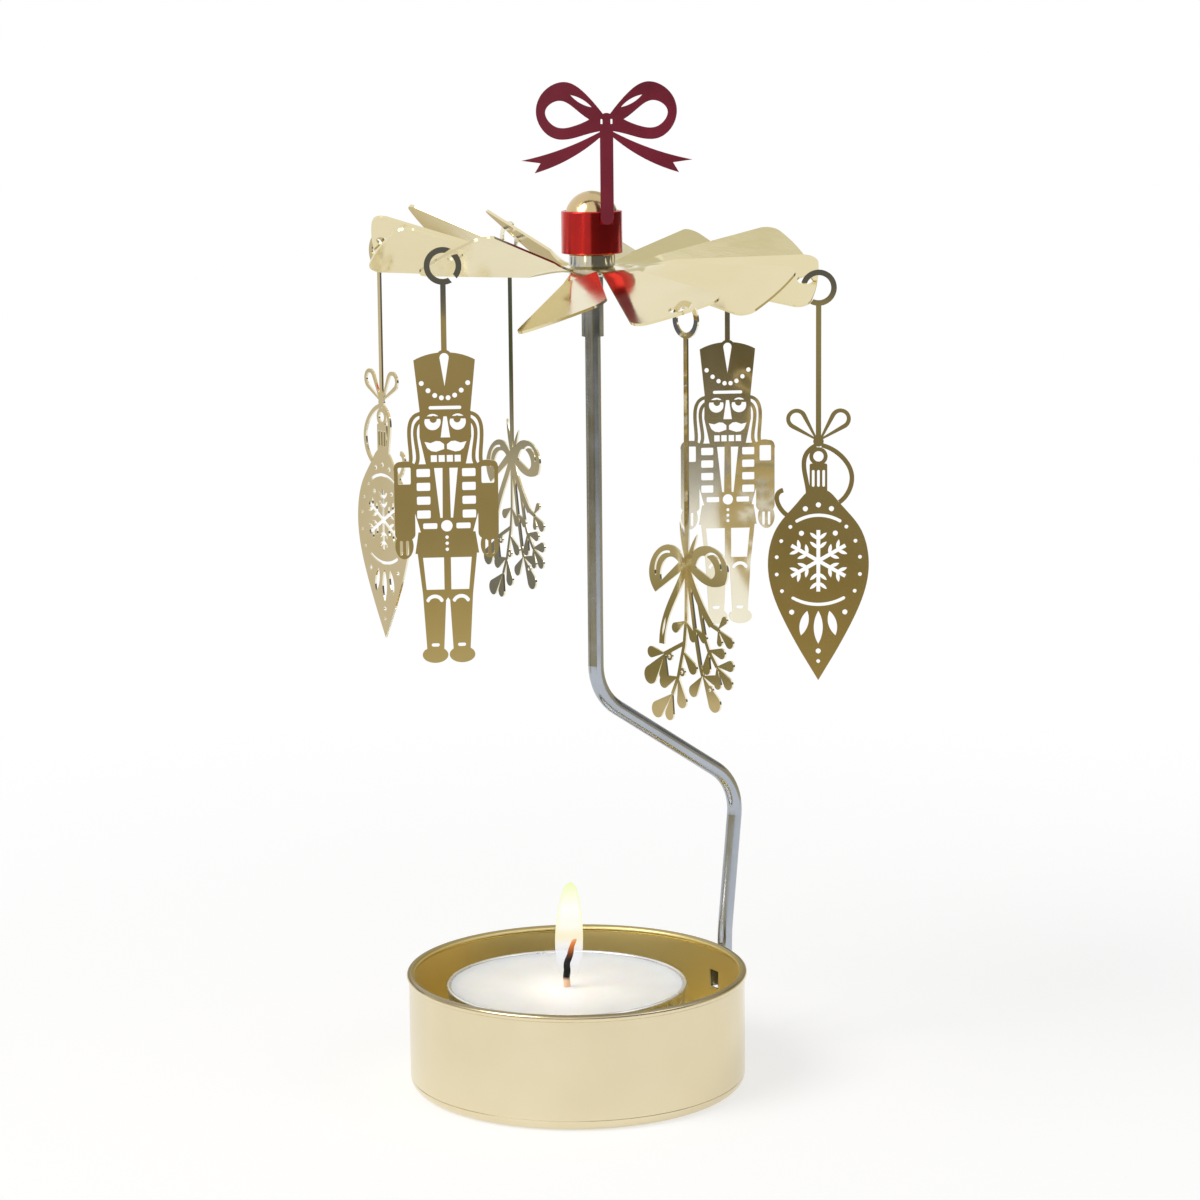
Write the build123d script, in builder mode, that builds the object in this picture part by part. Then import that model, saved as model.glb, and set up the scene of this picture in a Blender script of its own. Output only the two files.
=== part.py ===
from build123d import *
import os
from math import asin, cos, radians, sin, sqrt, tan

# A candle carousel: a vane wheel turns on a needle point over a tealight, with six hanging figures.
# Millimetres, +Z up. The origin is the centre of the cup's underside, and +Y points away from the viewer.
# Azimuths run counter-clockwise from +X, seen from above.

# Cup
cup_radius = 26.6
cup_height = 18.4
cup_wall = 0.5
cup_edge_radius = 1.8
rim_bead_radius = 0.6

# Stand wire and the two straps on the cup that hold its foot
wire_radius = 1.2
foot_azimuth = 33.0
foot_lift = 0.8
foot_end_chamfer = 0.3
rim_gap = 0.05
strap_clearance = 0.05
strap_thickness = 0.5
strap_height = 3.0
strap_levels = (3.6, 10.9)
socket_top = 20.0
elbow_overhang = 2.6
elbow_level = 44.6
shoulder_level = 62.5
wire_bend_radius = 8.5
lean_bend_radius = 40.0
needle_length = 4.0
needle_tip_radius = 0.12

# Turning axis and the hub
axis_x = 3.5
vane_level = 129.0
guide_outer_radius = 1.7
guide_drop = 10.4
guide_rise = 5.0
running_clearance = 0.08
collar_radius = 3.55
collar_height = 2.1
collar_edge = 0.25
spigot_radius = 2.6
lock_ring_radius = 3.6
lock_ring_height = 0.9
cap_radius = 4.1
cap_cylinder_height = 5.4
cap_dome_height = 4.1
bearing_radius = 1.5
bearing_height = 2.6
bearing_dimple_radius = 1.1
bearing_dimple_depth = 1.1
pivot_gap = 0.05

# Vane wheel: the twists and rises are each vane's own, in degrees, counter-clockwise from the first
sheet_thickness = 0.4
vane_outer_radius = 34.6
vane_half_angle = 12.4
vane_twists = (29.0, 24.0, 31.0, 32.0, 40.0, 34.0, 36.0, 30.0, 25.0, 20.0, 15.0, 26.0)
vane_rises = (-4.7, 5.0, 1.0, 4.0, 7.7, 13.0, 10.4, 9.5, 9.2, -11.5, -10.2, -5.5)
vane_corner_radius = 2.2
vane_disc_radius = 7.0
vane_neck_start = 6.0
vane_neck_end = 12.5
vane_neck_half_width = 1.45
first_vane_azimuth = -6.5
hanger_hole_radius = 1.2
hanger_hole_inset = 1.9

# Red band and bow on the cap
band_thickness = 0.55
band_height = 6.5
band_clearance = 0.03
band_edge = 0.2
bow_thickness = 0.5
bow_side_offset = 2.5
bow_pad_width = 1.8
bow_pad_proud = 0.12
bow_stem_width = 2.0
bow_stem_overlap = 1.9
bow_knot_rise = 13.2

# Hanging figures
hook_outer_radius = 2.75
hook_strip = 0.85
hook_mouth = 0.9
hook_drop = 1.0
hanger_thickness = 0.3
hanger_stem_width = 0.8
hanger_stem_overlap = 0.2
nutcracker_drop = 12.4
nutcracker_mouth_angle = -52.0
bauble_drop = 23.5
bauble_mouth_angle = -128.0
mistletoe_drop = 35.7
mistletoe_mouth_angle = 50.0

# Tealight
tealight_radius = 19.1
tealight_height = 15.7
tealight_wall = 0.3
tealight_lip_radius = 0.35
tealight_x = -1.6
tealight_y = -0.3
wax_drop = 0.7
melt_pool_radius = 15.0
melt_pool_depth = 0.5
wick_radius = 0.7
wick_rise = 7.8
wick_lean = 24.0
wick_curl_radius = 8.0
sustainer_radius = 6.0
sustainer_thickness = 0.3
sustainer_neck_radius = 1.1
sustainer_neck_height = 3.0
fit_clearance = 0.02

# Levels and places that follow from the sizes above
vane_top = vane_level + sheet_thickness / 2
vane_bottom = vane_level - sheet_thickness / 2
collar_top = vane_top + collar_height
spigot_bottom = vane_bottom - lock_ring_height
guide_inner_radius = wire_radius + running_clearance
guide_bottom = vane_level - guide_drop
guide_top = vane_level + guide_rise
bearing_bottom = guide_top + needle_length / 2
bearing_top = bearing_bottom + bearing_height
needle_tip_level = bearing_bottom + bearing_dimple_depth - pivot_gap
band_inner_radius = cap_radius + band_clearance
band_outer_radius = band_inner_radius + band_thickness
band_top = collar_top + band_height
wall_middle_radius = cup_radius - cup_wall / 2
foot_radius = wall_middle_radius + rim_bead_radius + rim_gap + wire_radius
hanger_hole_distance = vane_outer_radius - hanger_hole_inset
hook_inner_radius = hook_outer_radius - hook_strip
hook_middle_radius = hook_outer_radius - hook_strip / 2
wheel_axis = Axis((axis_x, 0, 0), (0, 0, 1))
up = Vector(0, 0, 1)


def along(azimuth):
    """Unit vector at an azimuth in the horizontal plane."""
    return Vector(cos(radians(azimuth)), sin(radians(azimuth)), 0)


def upright_plane(origin, azimuth):
    """Vertical plane whose local x runs along an azimuth and whose local y points up."""
    return Plane(origin=origin, x_dir=along(azimuth), z_dir=along(azimuth - 90))


def save(piece, name):
    """Label a finished piece and write it as one file."""
    piece.part.label = name
    export_step(piece.part, f"parts/{name}.step")


os.makedirs("parts", exist_ok=True)

# Cup: a drawn tin with a rolled rim and two straps pushed out of its wall
strap_inner_radius = wire_radius + strap_clearance
strap_outer_radius = strap_inner_radius + strap_thickness
strap_start = cup_radius - cup_wall
window_start = strap_start - cup_wall

with BuildPart() as cup:
    with BuildSketch(Plane.XZ) as cup_profile:
        with BuildLine():
            Polyline(
                (0, 0),
                (cup_radius, 0),
                (cup_radius, cup_height - rim_bead_radius),
                (cup_radius - cup_wall, cup_height - rim_bead_radius),
                (cup_radius - cup_wall, cup_wall),
                (0, cup_wall),
                close=True,
            )
        make_face()
        outer_corner = cup_profile.vertices().group_by(Axis.Y)[0].sort_by(Axis.X)[-1]
        fillet(outer_corner, cup_edge_radius)
        inner_corner = cup_profile.vertices().sort_by_distance((cup_radius - cup_wall, cup_wall))[0]
        fillet(inner_corner, cup_edge_radius - cup_wall)
        with Locations((wall_middle_radius, cup_height - rim_bead_radius)):
            Circle(rim_bead_radius)
    revolve(axis=Axis.Z)
    for level in strap_levels:
        strap_plane = Plane(origin=(0, 0, level), x_dir=along(foot_azimuth), z_dir=(0, 0, 1))
        with BuildSketch(strap_plane):
            with Locations((foot_radius, 0)):
                Circle(strap_outer_radius)
            with Locations((strap_start, 0)):
                Rectangle(
                    foot_radius - strap_start, 2 * strap_outer_radius, align=(Align.MIN, Align.CENTER)
                )
        extrude(amount=strap_height)
        with BuildSketch(strap_plane):
            with Locations((foot_radius, 0)):
                Circle(strap_inner_radius)
            with Locations((window_start, 0)):
                Rectangle(
                    foot_radius - window_start, 2 * strap_inner_radius, align=(Align.MIN, Align.CENTER)
                )
        extrude(amount=strap_height, mode=Mode.SUBTRACT)
save(cup, "cup")

# Stand wire: up from the straps, across in a crank to the turning axis, and up to a needle point
foot_point = along(foot_azimuth) * foot_radius
crank = foot_point - Vector(axis_x, 0, 0)
crank_reach = crank.length
crank_plane = Plane(
    origin=(axis_x, 0, 0), x_dir=crank, z_dir=Vector(crank.Y, -crank.X, 0)
)
needle_base_level = needle_tip_level - needle_length

with BuildPart() as stand_wire:
    with BuildLine(crank_plane) as wire_path:
        FilletPolyline(
            (crank_reach, foot_lift),
            (crank_reach, socket_top),
            (crank_reach + elbow_overhang, elbow_level),
            (0, shoulder_level),
            (0, needle_base_level),
            radius=[lean_bend_radius, wire_bend_radius, wire_bend_radius],
        )
    with BuildSketch(Plane(origin=foot_point + Vector(0, 0, foot_lift), z_dir=(0, 0, 1))):
        Circle(wire_radius)
    sweep(path=wire_path.wires()[0])
    chamfer(stand_wire.faces().sort_by(Axis.Z)[0].edges(), foot_end_chamfer)
    with Locations((axis_x, 0, needle_base_level)):
        Cone(
            wire_radius, needle_tip_radius, needle_length, align=(Align.CENTER, Align.CENTER, Align.MIN)
        )
save(stand_wire, "stand_wire")

# Tealight shell: a thin pressed cup with a small rolled lip
tealight_floor = cup_wall
tealight_plane = upright_plane((tealight_x, tealight_y, tealight_floor), 0)
tealight_axis = Axis((tealight_x, tealight_y, 0), (0, 0, 1))
shell_inner_radius = tealight_radius - tealight_wall

with BuildPart() as tealight_shell:
    with BuildSketch(tealight_plane):
        with BuildLine():
            Polyline(
                (0, 0),
                (tealight_radius - tealight_lip_radius, 0),
                (tealight_radius - tealight_lip_radius, tealight_height - tealight_lip_radius),
                (shell_inner_radius - tealight_lip_radius, tealight_height - tealight_lip_radius),
                (shell_inner_radius - tealight_lip_radius, tealight_wall),
                (0, tealight_wall),
                close=True,
            )
        make_face()
        with Locations((tealight_radius - tealight_lip_radius, tealight_height - tealight_lip_radius)):
            Circle(tealight_lip_radius)
    revolve(axis=tealight_axis)
save(tealight_shell, "tealight_shell")

# Wick sustainer: a tin disc with a crimped neck on the shell's floor
sustainer_floor = tealight_wall
wick_hole_radius = wick_radius + fit_clearance

with BuildPart() as wick_sustainer:
    with BuildSketch(tealight_plane):
        with BuildLine():
            Polyline(
                (wick_hole_radius, sustainer_floor),
                (sustainer_radius, sustainer_floor),
                (sustainer_radius, sustainer_floor + sustainer_thickness),
                (sustainer_neck_radius, sustainer_floor + sustainer_thickness),
                (sustainer_neck_radius, sustainer_floor + sustainer_neck_height),
                (wick_hole_radius, sustainer_floor + sustainer_neck_height),
                close=True,
            )
        make_face()
    revolve(axis=tealight_axis)
save(wick_sustainer, "wick_sustainer")

# Wax: fills the shell round the sustainer, with a shallow melt pool round the wick
wax_radius = shell_inner_radius - tealight_lip_radius - fit_clearance
wax_level = tealight_height - wax_drop
sustainer_top = sustainer_floor + sustainer_thickness + fit_clearance
neck_top = sustainer_floor + sustainer_neck_height + fit_clearance
neck_hole_radius = sustainer_neck_radius + fit_clearance

with BuildPart() as tealight_wax:
    with BuildSketch(tealight_plane):
        with BuildLine():
            pool = TangentArc(
                (wick_hole_radius, wax_level - melt_pool_depth),
                (melt_pool_radius, wax_level),
                tangent=(1, 0),
            )
            Polyline(
                pool @ 1,
                (wax_radius, wax_level),
                (wax_radius, sustainer_floor),
                (sustainer_radius + fit_clearance, sustainer_floor),
                (sustainer_radius + fit_clearance, sustainer_top),
                (neck_hole_radius, sustainer_top),
                (neck_hole_radius, neck_top),
                (wick_hole_radius, neck_top),
                pool @ 0,
            )
        make_face()
    revolve(axis=tealight_axis)
save(tealight_wax, "tealight_wax")

# Wick: straight up through the wax, then leaning over where it burns
wick_start = tealight_plane.origin + Vector(0, 0, sustainer_floor)
wick_lean_angle = radians(wick_lean)
wick_end = (
    wick_rise / 2 * sin(wick_lean_angle),
    wax_level + wick_rise / 2 * (1 + cos(wick_lean_angle)),
)

with BuildPart() as wick:
    with BuildLine(tealight_plane) as wick_path:
        FilletPolyline(
            (0, sustainer_floor),
            (0, wax_level + wick_rise / 2),
            wick_end,
            radius=wick_curl_radius,
        )
    with BuildSketch(Plane(origin=wick_start, z_dir=(0, 0, 1))):
        Circle(wick_radius)
    sweep(path=wick_path.wires()[0])
save(wick, "wick")

# Guide tube: a steel sleeve that turns round the wire's top and carries the hub
with BuildPart() as guide_tube:
    with BuildSketch(Plane(origin=(axis_x, 0, guide_bottom))):
        Circle(guide_outer_radius)
        Circle(guide_inner_radius, mode=Mode.SUBTRACT)
    extrude(amount=guide_top - guide_bottom)
save(guide_tube, "guide_tube")

# Hub collar: a turned ring on the tube, with a spigot that centres the vane wheel
with BuildPart() as hub_collar:
    with BuildSketch(Plane(origin=(axis_x, 0, vane_top))):
        Circle(collar_radius)
    extrude(amount=collar_height)
    chamfer(hub_collar.edges().filter_by(GeomType.CIRCLE), collar_edge)
    with BuildSketch(Plane(origin=(axis_x, 0, spigot_bottom))):
        Circle(spigot_radius)
    extrude(amount=vane_top - spigot_bottom)
    with BuildSketch(Plane(origin=(axis_x, 0, spigot_bottom))):
        Circle(guide_outer_radius)
    extrude(amount=collar_top - spigot_bottom, mode=Mode.SUBTRACT)
save(hub_collar, "hub_collar")

# Lock ring: clamps the vane wheel up against the collar
with BuildPart() as lock_ring:
    with BuildSketch(Plane(origin=(axis_x, 0, spigot_bottom))):
        Circle(lock_ring_radius)
        Circle(spigot_radius, mode=Mode.SUBTRACT)
    extrude(amount=lock_ring_height)
    chamfer(lock_ring.edges().group_by(Axis.Z)[0].sort_by(SortBy.RADIUS)[-1], collar_edge)
save(lock_ring, "lock_ring")

# Pivot bearing: a hard plug in the cap with a conical dimple that sits on the needle
with BuildPart() as pivot_bearing:
    with Locations((axis_x, 0, bearing_bottom)):
        Cylinder(bearing_radius, bearing_height, align=(Align.CENTER, Align.CENTER, Align.MIN))
        Cone(
            bearing_dimple_radius,
            needle_tip_radius,
            bearing_dimple_depth,
            align=(Align.CENTER, Align.CENTER, Align.MIN),
            mode=Mode.SUBTRACT,
        )
save(pivot_bearing, "pivot_bearing")

# Dome cap: a bullet-shaped brass cap, bored for the guide tube and the bearing
cap_height = cap_cylinder_height + cap_dome_height
cap_dome_radius = (cap_radius**2 + cap_dome_height**2) / (2 * cap_dome_height)

with BuildPart() as dome_cap:
    with BuildSketch(upright_plane((axis_x, 0, collar_top), 0)):
        with BuildLine():
            Polyline((0, 0), (cap_radius, 0), (cap_radius, cap_cylinder_height))
            dome = RadiusArc((cap_radius, cap_cylinder_height), (0, cap_height), -cap_dome_radius)
            Line(dome @ 1, (0, 0))
        make_face()
    revolve(axis=wheel_axis)
    with BuildSketch(Plane(origin=(axis_x, 0, collar_top))):
        Circle(guide_outer_radius)
    extrude(amount=guide_top - collar_top, mode=Mode.SUBTRACT)
    with BuildSketch(Plane(origin=(axis_x, 0, guide_top))):
        Circle(bearing_radius)
    extrude(amount=bearing_top - guide_top, mode=Mode.SUBTRACT)
save(dome_cap, "dome_cap")

# Vane wheel: one sheet with radial vanes, each twisted and bent up or down by hand at a narrow neck
vane_count = len(vane_twists)
vane_spread = radians(vane_half_angle)
vane_tip_half_width = vane_outer_radius * sin(vane_spread)
vane_tip_distance = vane_outer_radius * cos(vane_spread)
vane_neck_length = vane_neck_end - vane_neck_start
vane_shoulder_half_width = vane_neck_end * sin(vane_spread)


def vane_azimuth(vane):
    """The azimuth of a vane's middle line."""
    return first_vane_azimuth + vane * 360 / vane_count


def vane_section(vane, share):
    """Plane square to a vane's middle line at a share of its neck, with local x along its chord."""
    azimuth = vane_azimuth(vane)
    rise = radians(share * vane_rises[vane])
    twist = radians(share * vane_twists[vane])
    radial = along(azimuth) * cos(rise) + up * sin(rise)
    across = along(azimuth + 90)
    chord = across * cos(twist) + radial.cross(across) * sin(twist)
    middle = along(azimuth) * (vane_neck_start + share * vane_neck_length)
    climb = share * vane_neck_length * tan(rise) / 2
    origin = Vector(axis_x, 0, vane_level + climb) + middle
    return Plane(origin=origin, x_dir=chord, z_dir=radial)


def vane_face_plane(vane):
    """Plane of a vane's middle surface, with local x outwards from the hub and local y along its chord."""
    section = vane_section(vane, 1)
    origin = section.origin - section.z_dir * vane_neck_end
    return Plane(origin=origin, x_dir=section.z_dir, z_dir=section.z_dir.cross(section.x_dir))


with BuildPart() as vane_wheel:
    with BuildSketch(Plane(origin=(axis_x, 0, vane_bottom))):
        Circle(vane_disc_radius)
        Circle(spigot_radius, mode=Mode.SUBTRACT)
    extrude(amount=sheet_thickness)
    for vane in range(vane_count):
        with BuildSketch(vane_section(vane, 0)):
            Rectangle(2 * vane_neck_half_width, sheet_thickness)
        with BuildSketch(vane_section(vane, 0.5)):
            Rectangle(vane_neck_half_width + vane_shoulder_half_width, sheet_thickness)
        with BuildSketch(vane_section(vane, 1)):
            Rectangle(2 * vane_shoulder_half_width, sheet_thickness)
        loft()
        with BuildSketch(vane_face_plane(vane)) as vane_outline:
            with BuildLine():
                tip = ThreePointArc(
                    (vane_tip_distance, -vane_tip_half_width),
                    (vane_outer_radius, 0),
                    (vane_tip_distance, vane_tip_half_width),
                )
                Polyline(
                    tip @ 1,
                    (vane_neck_end, vane_shoulder_half_width),
                    (vane_neck_end, -vane_shoulder_half_width),
                    tip @ 0,
                )
            make_face()
            fillet(vane_outline.vertices().group_by(Axis.X)[-1], vane_corner_radius)
            if vane % 2 == 0:
                with Locations((hanger_hole_distance, 0)):
                    Circle(hanger_hole_radius, mode=Mode.SUBTRACT)
        extrude(amount=sheet_thickness / 2, both=True)
save(vane_wheel, "vane_wheel")

# Bow band: a red sleeve round the cap, with a flat pad where the bow's stem is fixed
bow_back = band_outer_radius + bow_pad_proud
bow_x = axis_x + bow_side_offset

with BuildPart() as bow_band:
    with BuildSketch(Plane(origin=(axis_x, 0, collar_top))):
        Circle(band_outer_radius)
    extrude(amount=band_height)
    fillet(bow_band.edges().filter_by(GeomType.CIRCLE), band_edge)
    with BuildSketch(Plane(origin=(bow_x, 0, band_top - bow_stem_overlap))):
        Rectangle(bow_pad_width, bow_back, align=(Align.CENTER, Align.MAX))
    extrude(amount=bow_stem_overlap - band_edge)
    with BuildSketch(Plane(origin=(axis_x, 0, collar_top))):
        Circle(band_inner_radius)
    extrude(amount=band_height, mode=Mode.SUBTRACT)
save(bow_band, "bow_band")


def leaf(length, half_width):
    """A pointed leaf that runs from the origin along +X."""
    with BuildSketch() as blade:
        with BuildLine():
            ThreePointArc((0, 0), (length / 2, half_width), (length, 0))
            ThreePointArc((length, 0), (length / 2, -half_width), (0, 0))
        make_face()
    return blade.sketch


def round_leaf(length, half_width):
    """A leaf that runs from the origin along +X and widens to a round end."""
    end_centre = length - half_width
    flare = asin(half_width / end_centre)
    side_length = sqrt(end_centre**2 - half_width**2)
    side = (side_length * cos(flare), side_length * sin(flare))
    with BuildSketch() as blade:
        Polygon((0, 0), side, (side[0], -side[1]), align=None)
        with Locations((end_centre, 0)):
            Circle(half_width)
    return blade.sketch


# Bow: a flat ribbon bow cut from sheet, on a stem in front of the band
with BuildPart() as bow_topper:
    with BuildSketch(upright_plane((bow_x, -bow_back, band_top + bow_knot_rise), 0)):
        with BuildLine():
            loop_top = Spline(
                (0.3, 1.2), (3.0, 4.4), (6.2, 6.3), (9.6, 4.7), (10.6, 1.6), (9.2, -1.3), (6.8, -2.3)
            )
            loop_low = Spline(loop_top @ 1, (3.6, -1.7), (0.3, -1.0), tangents=(loop_top % 1, (-1, 0.1)))
            Line(loop_low @ 1, loop_top @ 0)
        make_face()
        with BuildLine():
            Spline((2.6, 0.7), (4.6, 2.2), (7.2, 3.5), (9.2, 2.0), (7.8, -0.3), (5.0, -0.3), (2.6, 0.7))
        make_face(mode=Mode.SUBTRACT)
        with Locations((2.2, 2.5)):
            add(leaf(3.7, 0.32), rotation=30, mode=Mode.SUBTRACT)
        with BuildLine():
            tail_top = Spline((0.3, -0.8), (5.4, -3.2), (12.9, -5.4))
            tail_end = Polyline(tail_top @ 1, (10.0, -5.8), (10.9, -7.3))
            tail_low = Spline(tail_end @ 1, (4.6, -4.6), (0.3, -1.4))
            Line(tail_low @ 1, tail_top @ 0)
        make_face()
        mirror(about=Plane.YZ)
        Ellipse(1.35, 1.65)
        with Locations((-0.75, 0), (0.75, 0)):
            SlotOverall(1.5, 0.3, rotation=90, mode=Mode.SUBTRACT)
        with Locations((0, -bow_knot_rise)):
            Rectangle(bow_stem_width, bow_knot_rise, align=(Align.CENTER, Align.MIN))
            with Locations((0, -bow_stem_overlap + bow_stem_width / 2)):
                Circle(bow_stem_width / 2)
            Rectangle(bow_stem_width, bow_stem_overlap - bow_stem_width / 2, align=(Align.CENTER, Align.MAX))
    extrude(amount=bow_thickness)
save(bow_topper, "bow_topper")


def nutcracker_figure():
    """A toy soldier from the top of the hat down: one half, mirrored, with its features cut through."""
    plume_length = 4.9
    plume_half_width = 0.68
    plume_foot = -5.2
    plume_border = 0.5
    hair_width = 0.55
    strands = (
        ((3.4, -9.1), (4.7, -9.7), (5.3, -11.4), (5.5, -16.9)),
        ((3.4, -10.0), (4.1, -10.6), (4.45, -12.2), (4.6, -16.9)),
    )
    with BuildSketch() as figure:
        # Hat, head, chin and hair
        with BuildLine():
            crown = ThreePointArc((0, -0.2), (2.5, -0.5), (4.5, -1.3))
            Polyline(crown @ 1, (3.7, -9.0), (0, -9.0), crown @ 0)
        make_face()
        Polygon((0, -8.8), (3.75, -8.8), (3.8, -12.6), (2.9, -16.8), (0, -16.8), align=None)
        for points in strands:
            with BuildLine() as strand:
                Spline(*points)
            trace(strand.line, hair_width)
        # Coat, sleeve, hand, coat skirt, trousers, boot and toe
        Polygon((0, -16.6), (5.6, -16.6), (4.9, -23.0), (3.8, -26.9), (0, -26.9), align=None)
        with Locations((6.15, -22.0)):
            RectangleRounded(3.0, 11.6, 0.9)
        with Locations((6.0, -17.3)):
            Ellipse(1.7, 1.2)
        with Locations((6.3, -28.7)):
            Ellipse(1.35, 1.95)
        Polygon((0, -26.7), (4.2, -26.7), (4.7, -29.9), (0, -29.9), align=None)
        Polygon(
            (0, -29.7), (4.4, -29.7), (3.7, -36.0), (3.2, -44.4), (0.7, -44.4), (0.3, -36.9), (0, -36.5),
            align=None,
        )
        with Locations((2.0, -45.1)):
            Ellipse(1.9, 1.2)
        # Bead garland on the hat
        for bead in range(4):
            across = 0.49 + 0.97 * bead
            with Locations((across, -6.9 + 0.19 * across**2)):
                Circle(0.36, mode=Mode.SUBTRACT)
        # Eye with its pupil and lid, moustache and teeth
        with Locations((1.85, -10.4)):
            Circle(1.2, mode=Mode.SUBTRACT)
        with Locations((1.75, -10.0)):
            Circle(0.52)
        with Locations((1.85, -9.75)):
            Rectangle(2.5, 0.4)
        Polygon(
            (0.2, -13.7), (0.8, -13.25), (1.4, -13.2), (2.2, -13.5), (3.1, -13.3), (2.65, -14.3),
            (2.1, -14.7), (1.4, -14.8), (0.2, -14.4), align=None, mode=Mode.SUBTRACT,
        )
        with Locations((0.6, -15.8), (1.75, -15.8)):
            Rectangle(0.9, 1.0, mode=Mode.SUBTRACT)
        # Epaulette, fingers, lapel, braid, belt, trousers, knee and ankle
        with Locations((6.15, -18.3)):
            RectangleRounded(1.9, 2.5, 0.2, mode=Mode.SUBTRACT)
        with Locations((5.85, -29.0), (6.75, -29.0)):
            SlotOverall(2.2, 0.45, rotation=90, mode=Mode.SUBTRACT)
        Polygon((0.5, -17.2), (1.75, -17.2), (0.95, -24.6), (0.6, -24.6), align=None, mode=Mode.SUBTRACT)
        for row in range(4):
            with Locations((3.35, -17.9 - 2.05 * row)):
                RectangleRounded(2.0, 1.2, 0.2, mode=Mode.SUBTRACT)
        with Locations((2.45, -25.8)):
            RectangleRounded(2.1, 0.85, 0.2, mode=Mode.SUBTRACT)
        Polygon((0.5, -30.5), (3.6, -30.5), (3.15, -35.3), (0.5, -35.3), align=None, mode=Mode.SUBTRACT)
        SlotArc(ThreePointArc((0.95, -36.9), (1.95, -36.3), (2.95, -36.9)), 0.55, mode=Mode.SUBTRACT)
        with Locations((1.95, -43.6)):
            SlotOverall(1.2, 0.5, mode=Mode.SUBTRACT)
        mirror(about=Plane.YZ)
        # Plume with its border, hat band, nose, belt buckle and coat buttons, on the middle line
        with Locations((0, plume_foot + plume_length - plume_half_width)):
            Circle(plume_half_width + plume_border)
        with Locations((0, plume_foot)):
            add(round_leaf(plume_length, plume_half_width), rotation=90, mode=Mode.SUBTRACT)
        with Locations((0, -8.3)):
            SlotOverall(4.8, 0.5, mode=Mode.SUBTRACT)
        Polygon((0.25, -9.6), (0.7, -12.7), (-0.7, -12.7), (-0.25, -9.6), align=None, mode=Mode.SUBTRACT)
        with Locations((0, -25.8)):
            Circle(0.85, mode=Mode.SUBTRACT)
        with Locations((0, -27.5), (0, -28.4), (0, -29.3)):
            Circle(0.26, mode=Mode.SUBTRACT)
    return figure.sketch


def bauble_figure():
    """A drop-shaped bauble on a tied ribbon, pierced with a snow crystal, snow dots and leaves."""
    crystal_level = -18.5
    arm_length = 4.8
    arm_width = 0.6
    barb_length = 1.7
    barb_half_width = 0.28
    ribbon_width = 0.7
    bow_heading = 46
    garland_width = 0.5
    dot_radius = 0.4
    small_dot_radius = 0.3
    ribbons = (
        ((0.5, -0.6), (3.6, -2.4), (5.1, -5.2), (4.7, -7.6), (3.2, -9.4)),
        ((-0.4, -0.6), (-2.2, -3.0), (-2.0, -5.4), (-1.6, -8.6)),
        ((-4.2, -11.6), (-6.2, -9.6), (-6.3, -8.2), (-5.4, -7.5)),
    )
    with BuildSketch() as figure:
        # Right half of the ribbon bow and of the bauble, mirrored
        add(round_leaf(6.4, 1.6), rotation=bow_heading)
        with Locations((0.7, 0.72)):
            add(round_leaf(4.8, 0.95), rotation=bow_heading, mode=Mode.SUBTRACT)
        with BuildLine():
            side = Spline(
                (0, -7.3), (3.0, -9.2), (6.3, -13.2), (7.75, -18.4), (6.4, -25.3), (3.3, -31.6), (0, -37.2),
                tangents=((1, 0), (-0.6, -1)),
            )
            Line(side @ 1, side @ 0)
        make_face()
        # Leaves and dots of the right half
        with Locations((1.7, -26.3)):
            add(leaf(4.0, 0.65), rotation=-76, mode=Mode.SUBTRACT)
        with Locations((2.6, -14.2), (2.0, -10.4), (4.1, -26.5)):
            Circle(dot_radius, mode=Mode.SUBTRACT)
        with Locations((4.3, -13.2), (5.7, -15.4), (6.4, -17.9), (6.4, -20.6), (5.6, -23.2)):
            Circle(small_dot_radius, mode=Mode.SUBTRACT)
        mirror(about=Plane.YZ)
        # Knot, ribbon tails, hanging ring and ridged cap
        Circle(0.8)
        for points in ribbons:
            with BuildLine() as tail:
                Spline(*points)
            trace(tail.line, ribbon_width)
        with Locations((0, -2.3)):
            Circle(1.4)
            Circle(0.8, mode=Mode.SUBTRACT)
        with Locations((0, -5.7)):
            RectangleRounded(2.7, 4.6, 0.3)
            with Locations((-0.8, 0), (0, 0), (0.8, 0)):
                SlotOverall(2.6, 0.42, rotation=90, mode=Mode.SUBTRACT)
        # Snow crystal: six slots with barbs
        with Locations((0, crystal_level)):
            for arm in range(6):
                with Locations(Location((0, 0, 0), (0, 0, 30 + 60 * arm))):
                    Rectangle(arm_length, arm_width, align=(Align.MIN, Align.CENTER), mode=Mode.SUBTRACT)
                    with Locations((1.9, 0), (3.3, 0)):
                        add(leaf(barb_length, barb_half_width), rotation=50, mode=Mode.SUBTRACT)
                        add(leaf(barb_length, barb_half_width), rotation=-50, mode=Mode.SUBTRACT)
        # Garlands over and under the crystal, with the middle leaf and dots
        SlotArc(
            ThreePointArc((-3.3, -12.3), (0, -11.4), (3.3, -12.3)), garland_width, mode=Mode.SUBTRACT
        )
        SlotArc(
            ThreePointArc((-3.9, -24.3), (0, -25.3), (3.9, -24.3)), garland_width, mode=Mode.SUBTRACT
        )
        with Locations((0, -26.3)):
            add(leaf(5.2, 0.7), rotation=-90, mode=Mode.SUBTRACT)
        with Locations((0, -32.6), (0, -9.8)):
            Circle(dot_radius, mode=Mode.SUBTRACT)
        with Locations((0, -34.2)):
            Circle(small_dot_radius, mode=Mode.SUBTRACT)
    return figure.sketch


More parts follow.
